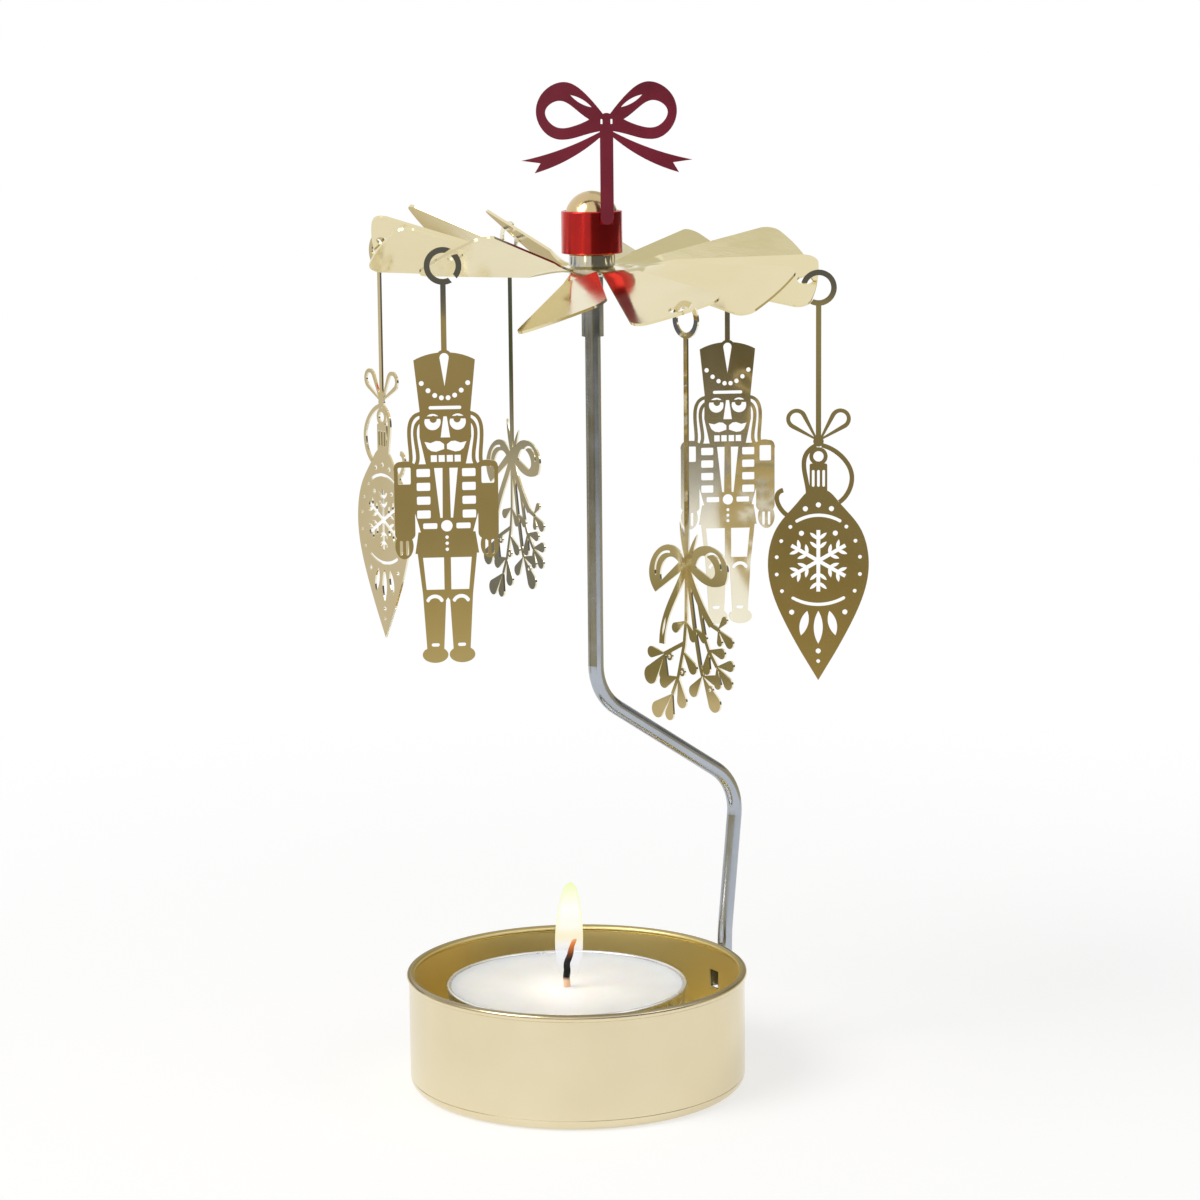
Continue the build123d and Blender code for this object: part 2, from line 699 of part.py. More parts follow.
def mistletoe_figure():
    """A mistletoe bunch hung by its cut stems, with a ribbon bow, twigs, round-ended leaves and berries."""
    twig_width = 0.62
    ribbon_width = 1.15
    fold_width = 0.36
    leaf_fullness = 0.22
    berry_radius = 0.62
    berry_hole_radius = 0.26
    twigs = (
        ((0, 0), (-0.15, -8.2), (-0.6, -12.0), (-1.95, -17.0), (-3.3, -19.8)),
        ((-0.6, -11.8), (-5.1, -14.0)),
        ((0, 0), (1.65, -9.2), (2.85, -14.6), (3.45, -16.2)),
        ((4.95, -8.2), (7.05, -8.9)),
        ((2.55, -4.9), (3.9, -10.4), (4.8, -12.2), (6.6, -14.4)),
    )
    ribbons = (
        ((0, 0), (-2.3, -4.2), (-4.5, -8.0), (-5.6, -12.5)),
        ((0, 0), (2.55, -4.9), (5.4, -8.4)),
    )
    # Each leaf is the point it grows from, its heading and its length
    leaves = (
        (-0.15, -8.4, -151, 3.5), (-0.15, -8.4, -56, 3.5), (-0.9, -13.0, -47, 4.1),
        (-1.95, -17.0, -160, 4.4), (-1.95, -17.0, -78, 4.7),
        (-3.3, -19.7, -140, 5.7), (-3.3, -19.7, -102, 4.2),
        (-4.95, -13.9, -177, 3.9), (-4.95, -13.9, -132, 6.3), (-4.95, -13.9, -96, 4.2),
        (1.65, -9.2, -33, 3.2), (3.45, -16.1, -129, 4.2), (3.45, -16.1, -56, 5.9), (3.45, -16.1, -7, 3.3),
        (6.9, -8.8, 47, 2.6), (6.9, -8.8, -35, 3.8), (6.9, -8.8, -81, 2.5),
        (4.8, -12.1, -4, 3.6), (4.8, -12.1, -100, 3.8),
        (6.6, -14.3, 8, 3.7), (6.6, -14.3, -43, 4.2), (6.6, -14.3, -87, 3.4),
    )
    berries = ((-3.9, -14.2), (-1.1, -16.2), (5.1, -18.0))
    with BuildSketch() as figure:
        # Cut stem ends over the knot
        add(leaf(6.3, 0.34), rotation=103)
        add(leaf(5.2, 0.34), rotation=63)
        # Twigs and ribbon tails
        for points in twigs:
            with BuildLine() as twig:
                Polyline(*points)
            trace(twig.line, twig_width)
        for points in ribbons:
            with BuildLine() as ribbon:
                Spline(*points)
            trace(ribbon.line, ribbon_width)
        with Locations((-4.7, -8.4)):
            add(leaf(3.2, 0.22), rotation=-105, mode=Mode.SUBTRACT)
        for x, y, heading, length in leaves:
            with Locations((x, y)):
                add(round_leaf(length, length * leaf_fullness), rotation=heading)
        with Locations(*berries):
            Circle(berry_radius)
        with Locations(*berries):
            Circle(berry_hole_radius, mode=Mode.SUBTRACT)
        # Left loop of the bow, then its right loop, each with its opening and a fold, then the knot
        with BuildLine():
            left_side = Spline((-0.6, 0.8), (-4.9, 2.3), (-8.0, -0.4), (-7.0, -4.9))
            Polyline(left_side @ 1, (-0.6, -0.8), left_side @ 0)
        make_face()
        with BuildLine():
            left_hole = Spline((-1.7, 0.1), (-4.0, 0.6), (-5.6, -0.9), (-5.7, -3.1))
            Line(left_hole @ 1, left_hole @ 0)
        make_face(mode=Mode.SUBTRACT)
        SlotArc(ThreePointArc((-3.8, 1.4), (-6.2, 0.4), (-6.9, -2.2)), fold_width, mode=Mode.SUBTRACT)
        with BuildLine():
            right_side = Spline((0.6, 0.6), (6.1, 2.95), (8.5, 1.4), (8.4, -2.1))
            right_low = Spline(right_side @ 1, (5.7, -2.7), (0.6, -0.6))
            Line(right_low @ 1, right_side @ 0)
        make_face()
        with BuildLine():
            right_hole = Spline((2.0, -0.2), (5.6, 0.9), (6.3, -0.6), (5.4, -1.6))
            Line(right_hole @ 1, right_hole @ 0)
        make_face(mode=Mode.SUBTRACT)
        SlotArc(ThreePointArc((4.3, 1.6), (6.6, 1.9), (7.6, 0.1)), fold_width, mode=Mode.SUBTRACT)
        Circle(1.05)
    return figure.sketch


def hook_centre(vane, facing):
    """Where a hook's ring has to hang so that its strip passes through the vane's hole."""
    azimuth = vane_azimuth(vane)
    face = vane_face_plane(vane)
    hole = face.from_local_coords(Vector(hanger_hole_distance, 0, 0))
    outward = along(facing) if cos(radians(facing - azimuth)) > 0 else along(facing + 180)
    slope = -face.z_dir.dot(outward) / face.z_dir.dot(up)
    fall = 1 + slope**2
    reach = (slope * hook_drop + sqrt(fall * hook_middle_radius**2 - hook_drop**2)) / fall
    return hole + outward * reach + up * (slope * reach - hook_drop)


# Hangers: each is one flat sheet with an open ring, a stem and a figure
# Each figure goes with how far its top lies under the ring and with the angle of the ring's mouth
# Each hanger is its name, its figure, its vane and its facing
nutcracker = (nutcracker_figure(), nutcracker_drop, nutcracker_mouth_angle)
bauble = (bauble_figure(), bauble_drop, bauble_mouth_angle)
mistletoe = (mistletoe_figure(), mistletoe_drop, mistletoe_mouth_angle)
hangers = (
    ("bauble_right", bauble, 0, 0.0),
    ("nutcracker_back", nutcracker, 2, 6.5),
    ("mistletoe_back", mistletoe, 4, -57.0),
    ("bauble_left", bauble, 6, 126.0),
    ("nutcracker_front", nutcracker, 8, 6.5),
    ("mistletoe_front", mistletoe, 10, -49.0),
)

for name, (figure, drop, mouth_angle), vane, facing in hangers:
    stem_length = drop - hook_middle_radius + hanger_stem_overlap
    with BuildPart() as hanger:
        with BuildSketch(upright_plane(hook_centre(vane, facing), facing)):
            Circle(hook_outer_radius)
            Circle(hook_inner_radius, mode=Mode.SUBTRACT)
            with Locations(Location((0, 0, 0), (0, 0, mouth_angle))):
                Rectangle(
                    2 * hook_outer_radius, hook_mouth, align=(Align.MIN, Align.CENTER), mode=Mode.SUBTRACT
                )
            with Locations((0, -hook_middle_radius)):
                Rectangle(hanger_stem_width, stem_length, align=(Align.CENTER, Align.MAX))
            with Locations((0, -drop)):
                add(figure)
        extrude(amount=hanger_thickness / 2, both=True)
    save(hanger, name)
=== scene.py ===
from collections import namedtuple
from math import cos, pi, radians, sin

import bmesh
import bpy
from mathutils import Matrix, Vector


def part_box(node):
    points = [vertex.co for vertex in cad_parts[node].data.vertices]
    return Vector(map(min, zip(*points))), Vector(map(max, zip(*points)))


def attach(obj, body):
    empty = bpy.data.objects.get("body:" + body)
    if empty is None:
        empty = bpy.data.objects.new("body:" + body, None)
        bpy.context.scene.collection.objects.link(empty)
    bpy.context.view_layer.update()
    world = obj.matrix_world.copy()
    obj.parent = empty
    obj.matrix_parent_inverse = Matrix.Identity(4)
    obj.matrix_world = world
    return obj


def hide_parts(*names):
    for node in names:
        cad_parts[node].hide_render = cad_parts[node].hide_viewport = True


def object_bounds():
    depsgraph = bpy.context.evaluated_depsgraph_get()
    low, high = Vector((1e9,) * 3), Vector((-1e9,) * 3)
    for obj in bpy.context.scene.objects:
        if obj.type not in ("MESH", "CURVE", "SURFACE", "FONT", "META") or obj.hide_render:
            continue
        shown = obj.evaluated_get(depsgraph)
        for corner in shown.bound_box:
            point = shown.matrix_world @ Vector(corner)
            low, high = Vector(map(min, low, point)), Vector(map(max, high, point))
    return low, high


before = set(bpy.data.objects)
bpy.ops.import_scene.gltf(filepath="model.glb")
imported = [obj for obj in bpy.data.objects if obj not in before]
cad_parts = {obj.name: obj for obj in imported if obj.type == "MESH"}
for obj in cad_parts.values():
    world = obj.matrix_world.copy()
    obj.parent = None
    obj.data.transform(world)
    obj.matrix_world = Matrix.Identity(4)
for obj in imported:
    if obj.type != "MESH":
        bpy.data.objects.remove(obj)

bl_info = {
    "name": "Candle Carousel",
    "version": (1, 0, 0),
    "blender": (4, 5, 0),
    "location": "View3D > Sidebar > Carousel",
    "description": "Finishes a candle carousel: tin cup, wire, brass wheel, figures, red bow and tealight",
    "category": "Object",
}

# Everything is in metres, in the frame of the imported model
MM = 0.001
CAD_LOW, CAD_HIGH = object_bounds()
CUP_LOW, CUP_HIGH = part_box("cup")
WAX_LOW, WAX_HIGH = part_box("tealight_wax")
WICK_LOW, WICK_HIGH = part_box("wick")

# Radii and centres that the finishes and the candle follow: the cup's wall lies a little inside its rim
RIM_TO_WALL = 0.6 * MM
CUP_WALL_MIDDLE = -CUP_LOW.x - RIM_TO_WALL
WAX_CENTRE = (WAX_LOW + WAX_HIGH) / 2
WAX_RADIUS = (WAX_HIGH.x - WAX_LOW.x) / 2
WICK_RADIUS = (WICK_HIGH.y - WICK_LOW.y) / 2

# How near to a level a vertex counts as on it, and how near two vertices count as one
LEVEL_ROOM = 0.01 * MM
MERGE_ROOM = 0.001 * MM

# The square picture, and the camera's sensor and nearest view
PHOTO_PIXELS = 1200
SENSOR_WIDTH = 36.0
CLIP_START = 10 * MM

# Stage: the point that the lamps face, and how finely the round table top and the boards are divided
LAMP_AIM = (0.0, 0.0, 0.09)
FLOOR_SIDES = 128
CARD_STEPS = 48

# Boards round the stage that the metal mirrors, as painted reflections: each glows only in mirror rays, in
# tones painted to set what the metal reflects.
# Start and sweep are degrees about the middle, foot and top are levels, and each colour has its share of the
# way from the foot to the top
Card = namedtuple("Card", "name start sweep radius foot top colours")
CARDS = (
    Card(
        "front_card", start=185, sweep=92.5, radius=0.26, foot=0.001, top=0.105,
        colours=(
            (0.0, (0.52, 0.43, 0.22)), (0.24, (0.48, 0.39, 0.19)), (0.36, (0.41, 0.32, 0.14)),
            (0.52, (0.30, 0.235, 0.105)), (0.8, (0.29, 0.22, 0.095)), (1.0, (0.34, 0.27, 0.13)),
        ),
    ),
    Card(
        "right_bauble_card", start=277.5, sweep=8, radius=0.26, foot=0.001, top=0.105,
        colours=(
            (0.0, (0.38, 0.28, 0.11)), (0.17, (0.31, 0.225, 0.08)), (0.42, (0.22, 0.165, 0.06)),
            (0.65, (0.21, 0.17, 0.08)), (1.0, (0.28, 0.24, 0.12)),
        ),
    ),
    Card(
        "left_card", start=168, sweep=18, radius=0.18, foot=0.001, top=0.12,
        colours=(
            (0.0, (0.60, 0.50, 0.30)), (0.225, (0.56, 0.465, 0.28)), (0.265, (0.215, 0.178, 0.07)),
            (0.34, (0.22, 0.183, 0.075)), (0.42, (0.28, 0.235, 0.11)), (0.50, (0.42, 0.355, 0.19)),
            (0.56, (0.62, 0.58, 0.54)), (0.70, (0.62, 0.61, 0.66)), (0.76, (0.11, 0.12, 0.15)),
            (1.0, (0.11, 0.12, 0.15)),
        ),
    ),
    Card(
        "left_bauble_card", start=153, sweep=15, radius=0.34, foot=0.001, top=0.12,
        colours=((0.0, (0.62, 0.55, 0.41)), (1.0, (0.56, 0.50, 0.365))),
    ),
    Card(
        "side_card", start=138, sweep=15, radius=0.34, foot=0.001, top=0.112,
        colours=(
            (0.0, (0.14, 0.15, 0.14)), (0.30, (0.20, 0.195, 0.17)), (0.47, (0.42, 0.38, 0.29)),
            (0.60, (0.20, 0.20, 0.16)), (0.72, (0.06, 0.08, 0.05)), (1.0, (0.08, 0.10, 0.07)),
        ),
    ),
    Card(
        "rear_card", start=-10, sweep=147, radius=0.26, foot=0.001, top=0.105,
        colours=((0.0, (0.64, 0.56, 0.38)), (0.5, (0.52, 0.44, 0.27)), (1.0, (0.56, 0.48, 0.31))),
    ),
    Card(
        "right_card", start=-85, sweep=145, radius=0.5, foot=0.075, top=0.30,
        colours=((0.0, 0.10), (0.6, 0.12), (1.0, 0.5)),
    ),
    Card(
        "back_card", start=40, sweep=55, radius=1.0, foot=0.35, top=1.35,
        colours=((0.0, (0.68, 0.66, 0.52)), (1.0, (0.70, 0.68, 0.54))),
    ),
    Card(
        "far_left_card", start=165, sweep=103, radius=1.6, foot=-0.4, top=0.7,
        colours=(
            (0.0, (0.10, 0.09, 0.06)), (0.28, (0.14, 0.13, 0.10)), (0.35, (0.72, 0.71, 0.69)),
            (1.0, (0.85, 0.84, 0.82)),
        ),
    ),
    Card(
        "far_right_card", start=268, sweep=107, radius=1.6, foot=-0.4, top=0.7,
        colours=(
            (0.0, (0.34, 0.30, 0.19)), (0.265, (0.32, 0.28, 0.17)), (0.285, (0.24, 0.205, 0.12)),
            (0.31, (0.11, 0.082, 0.03)), (0.5, (0.09, 0.068, 0.022)), (0.75, (0.5, 0.48, 0.44)),
            (1.0, (0.8, 0.79, 0.76)),
        ),
    ),
)

# Five figures are fresh from their sheet, and one has been handled more
FRESH_FIGURES = (
    "nutcracker_front",
    "bauble_left",
    "bauble_right",
    "mistletoe_front",
    "mistletoe_back",
)
HANDLED_FIGURE = "nutcracker_back"


class CarouselMetals(bpy.types.PropertyGroup):
    """Colours of the bare and plated metals."""

    tin: bpy.props.FloatVectorProperty(
        name="Tin", description="Champagne lacquered tin of the cup",
        default=(0.79, 0.70, 0.485), size=3, subtype="COLOR", min=0, max=1,
    )
    tin_shade: bpy.props.FloatVectorProperty(
        name="Tin shade", description="Deeper tone in the tin's drawn streaks",
        default=(0.75, 0.655, 0.44), size=3, subtype="COLOR", min=0, max=1,
    )
    tin_inside: bpy.props.FloatVectorProperty(
        name="Tin inside", description="Gold lacquer inside the cup",
        default=(0.94, 0.805, 0.405), size=3, subtype="COLOR", min=0, max=1,
    )
    vane: bpy.props.FloatVectorProperty(
        name="Vane brass", description="Pale bright brass of the vane wheel",
        default=(0.80, 0.72, 0.47), size=3, subtype="COLOR", min=0, max=1,
    )
    vane_shade: bpy.props.FloatVectorProperty(
        name="Vane shade", description="Deeper tone in the rolled vane sheet",
        default=(0.76, 0.67, 0.41), size=3, subtype="COLOR", min=0, max=1,
    )
    figure: bpy.props.FloatVectorProperty(
        name="Figure brass", description="Etched brass of the hanging figures",
        default=(0.90, 0.85, 0.69), size=3, subtype="COLOR", min=0, max=1,
    )
    figure_shade: bpy.props.FloatVectorProperty(
        name="Figure shade", description="Tarnished tone of the etched brass",
        default=(0.85, 0.79, 0.60), size=3, subtype="COLOR", min=0, max=1,
    )
    cap: bpy.props.FloatVectorProperty(
        name="Cap brass", description="Polished brass of the dome cap",
        default=(0.64, 0.49, 0.26), size=3, subtype="COLOR", min=0, max=1,
    )
    steel: bpy.props.FloatVectorProperty(
        name="Steel", description="Drawn steel of the wire and the guide tube",
        default=(0.455, 0.49, 0.545), size=3, subtype="COLOR", min=0, max=1,
    )
    aluminium: bpy.props.FloatVectorProperty(
        name="Aluminium", description="Pressed aluminium of the tealight shell",
        default=(0.80, 0.80, 0.81), size=3, subtype="COLOR", min=0, max=1,
    )


class CarouselLacquer(bpy.types.PropertyGroup):
    """Reds of the bow and of the band under it."""

    bow: bpy.props.FloatVectorProperty(
        name="Bow red", description="Burgundy lacquer of the bow",
        default=(0.265, 0.020, 0.048), size=3, subtype="COLOR", min=0, max=1,
    )
    band: bpy.props.FloatVectorProperty(
        name="Band red", description="Brighter lacquer of the band",
        default=(0.65, 0.022, 0.020), size=3, subtype="COLOR", min=0, max=1,
    )
    band_metal: bpy.props.FloatProperty(
        name="Band metal", description="How metallic the band's red is",
        default=0.95, min=0, max=1, subtype="FACTOR",
    )
    gloss: bpy.props.FloatProperty(
        name="Gloss", description="Clear coat over the red",
        default=0.3, min=0, max=1, subtype="FACTOR",
    )


class CarouselCandle(bpy.types.PropertyGroup):
    """Sizes and colours of the wax, the wick and the flame."""

    wax: bpy.props.FloatVectorProperty(
        name="Wax", description="White paraffin",
        default=(0.94, 0.935, 0.925), size=3, subtype="COLOR", min=0, max=1,
    )
    pool_depth: bpy.props.FloatProperty(
        name="Pool depth", description="How far the melted wax lies under its rim",
        default=0.45 * MM, min=0, unit="LENGTH",
    )
    wick_pitch: bpy.props.FloatProperty(
        name="Wick pitch", description="Rise of one step of the twisted wick",
        default=0.35 * MM, min=0.1 * MM, unit="LENGTH",
    )
    flame_height: bpy.props.FloatProperty(
        name="Flame height", description="From the foot of the flame to its tip",
        default=17.6 * MM, min=1 * MM, unit="LENGTH",
    )
    flame_width: bpy.props.FloatProperty(
        name="Flame width", description="Across the widest part of the flame",
        default=4.5 * MM, min=1 * MM, unit="LENGTH",
    )
    flame_lean: bpy.props.FloatProperty(
        name="Flame lean", description="How far the tip lies to the right of the foot",
        default=0.4 * MM, unit="LENGTH",
    )
    glow: bpy.props.FloatVectorProperty(
        name="Glow", description="Colour of the light that the flame gives",
        default=(1.0, 0.90, 0.76), size=3, subtype="COLOR", min=0, max=1,
    )
    glow_power: bpy.props.FloatProperty(
        name="Glow power", description="Power of the light that the flame gives",
        default=0.0022, min=0, unit="POWER",
    )


class CarouselStudio(bpy.types.PropertyGroup):
    """Camera, floor and lamps."""

    camera_place: bpy.props.FloatVectorProperty(
        name="Camera place", description="Where the camera stands",
        default=(16.66 * MM, -521.1 * MM, 164.97 * MM), size=3, subtype="TRANSLATION", unit="LENGTH",
    )
    camera_yaw: bpy.props.FloatProperty(
        name="Camera yaw", description="Turn to the right of the camera's view",
        default=radians(-1.367), subtype="ANGLE", unit="ROTATION",
    )
    camera_pitch: bpy.props.FloatProperty(
        name="Camera pitch", description="How far the camera looks down",
        default=radians(9.529), subtype="ANGLE", unit="ROTATION",
    )
    camera_roll: bpy.props.FloatProperty(
        name="Camera roll", description="Tilt of the camera about its view",
        default=radians(-0.544), subtype="ANGLE", unit="ROTATION",
    )
    focal_pixels: bpy.props.FloatProperty(
        name="Focal length", description="Focal length in pixels of the square picture",
        default=3395.9, min=100, subtype="PIXEL",
    )
    floor_radius: bpy.props.FloatProperty(
        name="Floor radius", description="Radius of the pale table top",
        default=0.75, min=0.1, unit="LENGTH",
    )
    ambient: bpy.props.FloatProperty(
        name="Ambient", description="Level of the light from all round",
        default=0.45, min=0,
    )
    key_place: bpy.props.FloatVectorProperty(
        name="Key place", description="Where the large soft lamp on the left hangs",
        default=(-0.75, -0.55, 0.95), size=3, subtype="TRANSLATION", unit="LENGTH",
    )
    key_size: bpy.props.FloatProperty(
        name="Key size", description="Across the lamp on the left",
        default=0.8, min=0.01, unit="LENGTH",
    )
    key_power: bpy.props.FloatProperty(
        name="Key power", description="Power of the lamp on the left",
        default=8.0, min=0, unit="POWER",
    )
    key_colour: bpy.props.FloatVectorProperty(
        name="Key colour", description="Slightly warm white of the lamp on the left",
        default=(1.0, 0.98, 0.95), size=3, subtype="COLOR", min=0, max=1,
    )
    fill_place: bpy.props.FloatVectorProperty(
        name="Fill place", description="Where the soft lamp on the right hangs",
        default=(0.85, -0.35, 0.7), size=3, subtype="TRANSLATION", unit="LENGTH",
    )
    fill_size: bpy.props.FloatProperty(
        name="Fill size", description="Across the lamp on the right",
        default=0.6, min=0.01, unit="LENGTH",
    )
    fill_power: bpy.props.FloatProperty(
        name="Fill power", description="Power of the lamp on the right",
        default=1.0, min=0, unit="POWER",
    )
    fill_colour: bpy.props.FloatVectorProperty(
        name="Fill colour", description="Slightly cool white of the lamp on the right",
        default=(0.96, 0.98, 1.0), size=3, subtype="COLOR", min=0, max=1,
    )


# Node helpers

def opaque(colour):
    """A colour, or a single number as a grey, with full alpha."""
    red, green, blue = (colour,) * 3 if isinstance(colour, float) else colour
    return (red, green, blue, 1.0)


def shaded(colour, share):
    """A colour with each of its parts cut to a share."""
    return [share * part for part in colour]


def feed(tree, node, **inputs):
    """Link or set the inputs that are named, with underscores for spaces."""
    for name, value in inputs.items():
        socket = node.inputs[name.replace("_", " ")]
        if isinstance(value, bpy.types.NodeSocket):
            tree.links.new(value, socket)
        else:
            socket.default_value = value


def source(node, name):
    """The socket that is linked to an input."""
    return node.inputs[name].links[0].from_socket


def add_node(tree, kind, **inputs):
    """Add a shader node and feed its inputs."""
    node = tree.nodes.new(kind)
    feed(tree, node, **inputs)
    return node


def object_place(tree):
    """The place on a piece, measured from its origin."""
    return tree.nodes.new("ShaderNodeTexCoord").outputs["Object"]


def remap(tree, value, interpolation="LINEAR", **limits):
    """A value taken from one range to another."""
    node = add_node(tree, "ShaderNodeMapRange", Value=value, **limits)
    node.interpolation_type = interpolation
    return node.outputs["Result"]


def combine(tree, operation, first, second):
    """A value worked out from two others."""
    node = tree.nodes.new("ShaderNodeMath")
    node.operation = operation
    tree.links.new(first, node.inputs[0])
    tree.links.new(second, node.inputs[1])
    return node.outputs["Value"]


def measure(tree, vector):
    """The length of a vector."""
    node = tree.nodes.new("ShaderNodeVectorMath")
    node.operation = "LENGTH"
    tree.links.new(vector, node.inputs[0])
    return node.outputs["Value"]


def mix(tree, share, first, second, kind="RGBA", blend="MIX"):
    """A colour between two others, or a value where the kind is FLOAT."""
    node = tree.nodes.new("ShaderNodeMix")
    node.data_type = kind
    node.blend_type = blend
    feed(tree, node, Factor=share, A=first, B=second)
    return node.outputs["Result"]


def height_ramp(tree, low, high, stops):
    """Colours or greys that change up a piece between two heights."""
    split = add_node(tree, "ShaderNodeSeparateXYZ", Vector=object_place(tree))
    share = remap(tree, split.outputs["Z"], From_Min=low, From_Max=high)
    ramp = add_node(tree, "ShaderNodeValToRGB", Fac=share)
    elements = ramp.color_ramp.elements
    while len(elements) < len(stops):
        elements.new(1.0)
    for element, (position, colour) in zip(elements, stops):
        element.position = position
        element.color = opaque(colour)
    return ramp.outputs["Color"]


# Effects that the finishes share

def new_group(name, inputs, outputs):
    """Start a shader node group with named sockets."""
    tree = bpy.data.node_groups.new(name, "ShaderNodeTree")
    for in_out, sockets in (("INPUT", inputs), ("OUTPUT", outputs)):
        for label, kind in sockets.items():
            tree.interface.new_socket(name=label, in_out=in_out, socket_type=f"NodeSocket{kind}")
    entry = tree.nodes.new("NodeGroupInput")
    leave = tree.nodes.new("NodeGroupOutput")
    return tree, entry.outputs, leave


def sheet_grain_group():
    """Fine lines that run along one direction, as rolling, drawing or spinning leaves them."""
    name = "Sheet Grain"
    if name in bpy.data.node_groups:
        return bpy.data.node_groups[name]
    tree, given, leave = new_group(name, {"Place": "Vector", "Stretch": "Vector"}, {"Height": "Float"})
    stretched = tree.nodes.new("ShaderNodeVectorMath")
    stretched.operation = "MULTIPLY"
    tree.links.new(given["Place"], stretched.inputs[0])
    tree.links.new(given["Stretch"], stretched.inputs[1])
    lines = add_node(
        tree, "ShaderNodeTexNoise", Vector=stretched.outputs["Vector"], Scale=1.0, Detail=3.0, Roughness=0.6,
    )
    feed(tree, leave, Height=lines.outputs["Fac"])
    return tree


def handling_group():
    """Soft smudges that make a finish rougher in places."""
    name = "Handling Marks"
    if name in bpy.data.node_groups:
        return bpy.data.node_groups[name]
    tree, given, leave = new_group(
        name,
        {"Place": "Vector", "Scale": "Float", "Clean": "Float", "Worn": "Float"},
        {"Roughness": "Float"},
    )
    smudge = add_node(
        tree, "ShaderNodeTexNoise", Vector=given["Place"], Scale=given["Scale"], Detail=2.0, Roughness=0.45,
    )
    mask = remap(tree, smudge.outputs["Fac"], From_Min=0.3, From_Max=0.75)
    feed(tree, leave, Roughness=remap(tree, mask, To_Min=given["Clean"], To_Max=given["Worn"]))
    return tree


def colour_drift_group():
    """A slow change between two tones over the surface."""
    name = "Colour Drift"
    if name in bpy.data.node_groups:
        return bpy.data.node_groups[name]
    tree, given, leave = new_group(
        name,
        {"Place": "Vector", "Scale": "Float", "First": "Color", "Second": "Color"},
        {"Colour": "Color"},
    )
    cloud = add_node(
        tree, "ShaderNodeTexNoise", Vector=given["Place"], Scale=given["Scale"], Detail=4.0, Roughness=0.5,
    )
    share = remap(tree, cloud.outputs["Fac"], From_Min=0.35, From_Max=0.7)
    feed(tree, leave, Colour=mix(tree, share, given["First"], given["Second"]))
    return tree


def place_group(tree, group, **inputs):
    """Place a node group in a material and feed its inputs."""
    node = tree.nodes.new("ShaderNodeGroup")
    node.node_tree = group
    feed(tree, node, **inputs)
    return node


def nodes_of(material):
    """A material's node tree and the Principled BSDF in it."""
    return material.node_tree, material.node_tree.nodes["Principled BSDF"]


def new_material(name, **inputs):
    """Start a material with some inputs of its surface set."""
    material = bpy.data.materials.new(name)
    material.use_nodes = True
    feed(*nodes_of(material), **inputs)
    return material


def finish_surface(name, first, second, drift_scale, clean, worn, smudge_scale, stretch, depth, **inputs):
    """A material with drifting colour, smudged roughness and a fine grain in its normal."""
    material = new_material(name, **inputs)
    tree, surface = nodes_of(material)
    place = object_place(tree)
    drift = place_group(
        tree, colour_drift_group(), Place=place, Scale=drift_scale, First=opaque(first),
        Second=opaque(second),
    )
    smudges = place_group(tree, handling_group(), Place=place, Scale=smudge_scale, Clean=clean, Worn=worn)
    grain = place_group(tree, sheet_grain_group(), Place=place, Stretch=stretch)
    bump = add_node(
        tree, "ShaderNodeBump", Strength=0.5, Distance=depth, Height=grain.outputs["Height"],
    )
    feed(
        tree, surface, Base_Color=drift.outputs["Colour"], Roughness=smudges.outputs["Roughness"],
        Normal=bump.outputs["Normal"],
    )
    return material


def metal(name, first, second, **finish):
    """A bare metal with a drifting colour."""
    return finish_surface(name, first, second, Metallic=1.0, **finish)


def glowing(name):
    """Start a material that gives light and reflects none."""
    return new_material(
        name, Base_Color=opaque(0.0), Roughness=1.0, Specular_IOR_Level=0.0, Emission_Strength=1.0,
    )


def paint(material, *names):
    """Give CAD nodes a material in all their slots."""
    for name in names:
        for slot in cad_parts[name].material_slots:
            slot.material = material


# Finishes

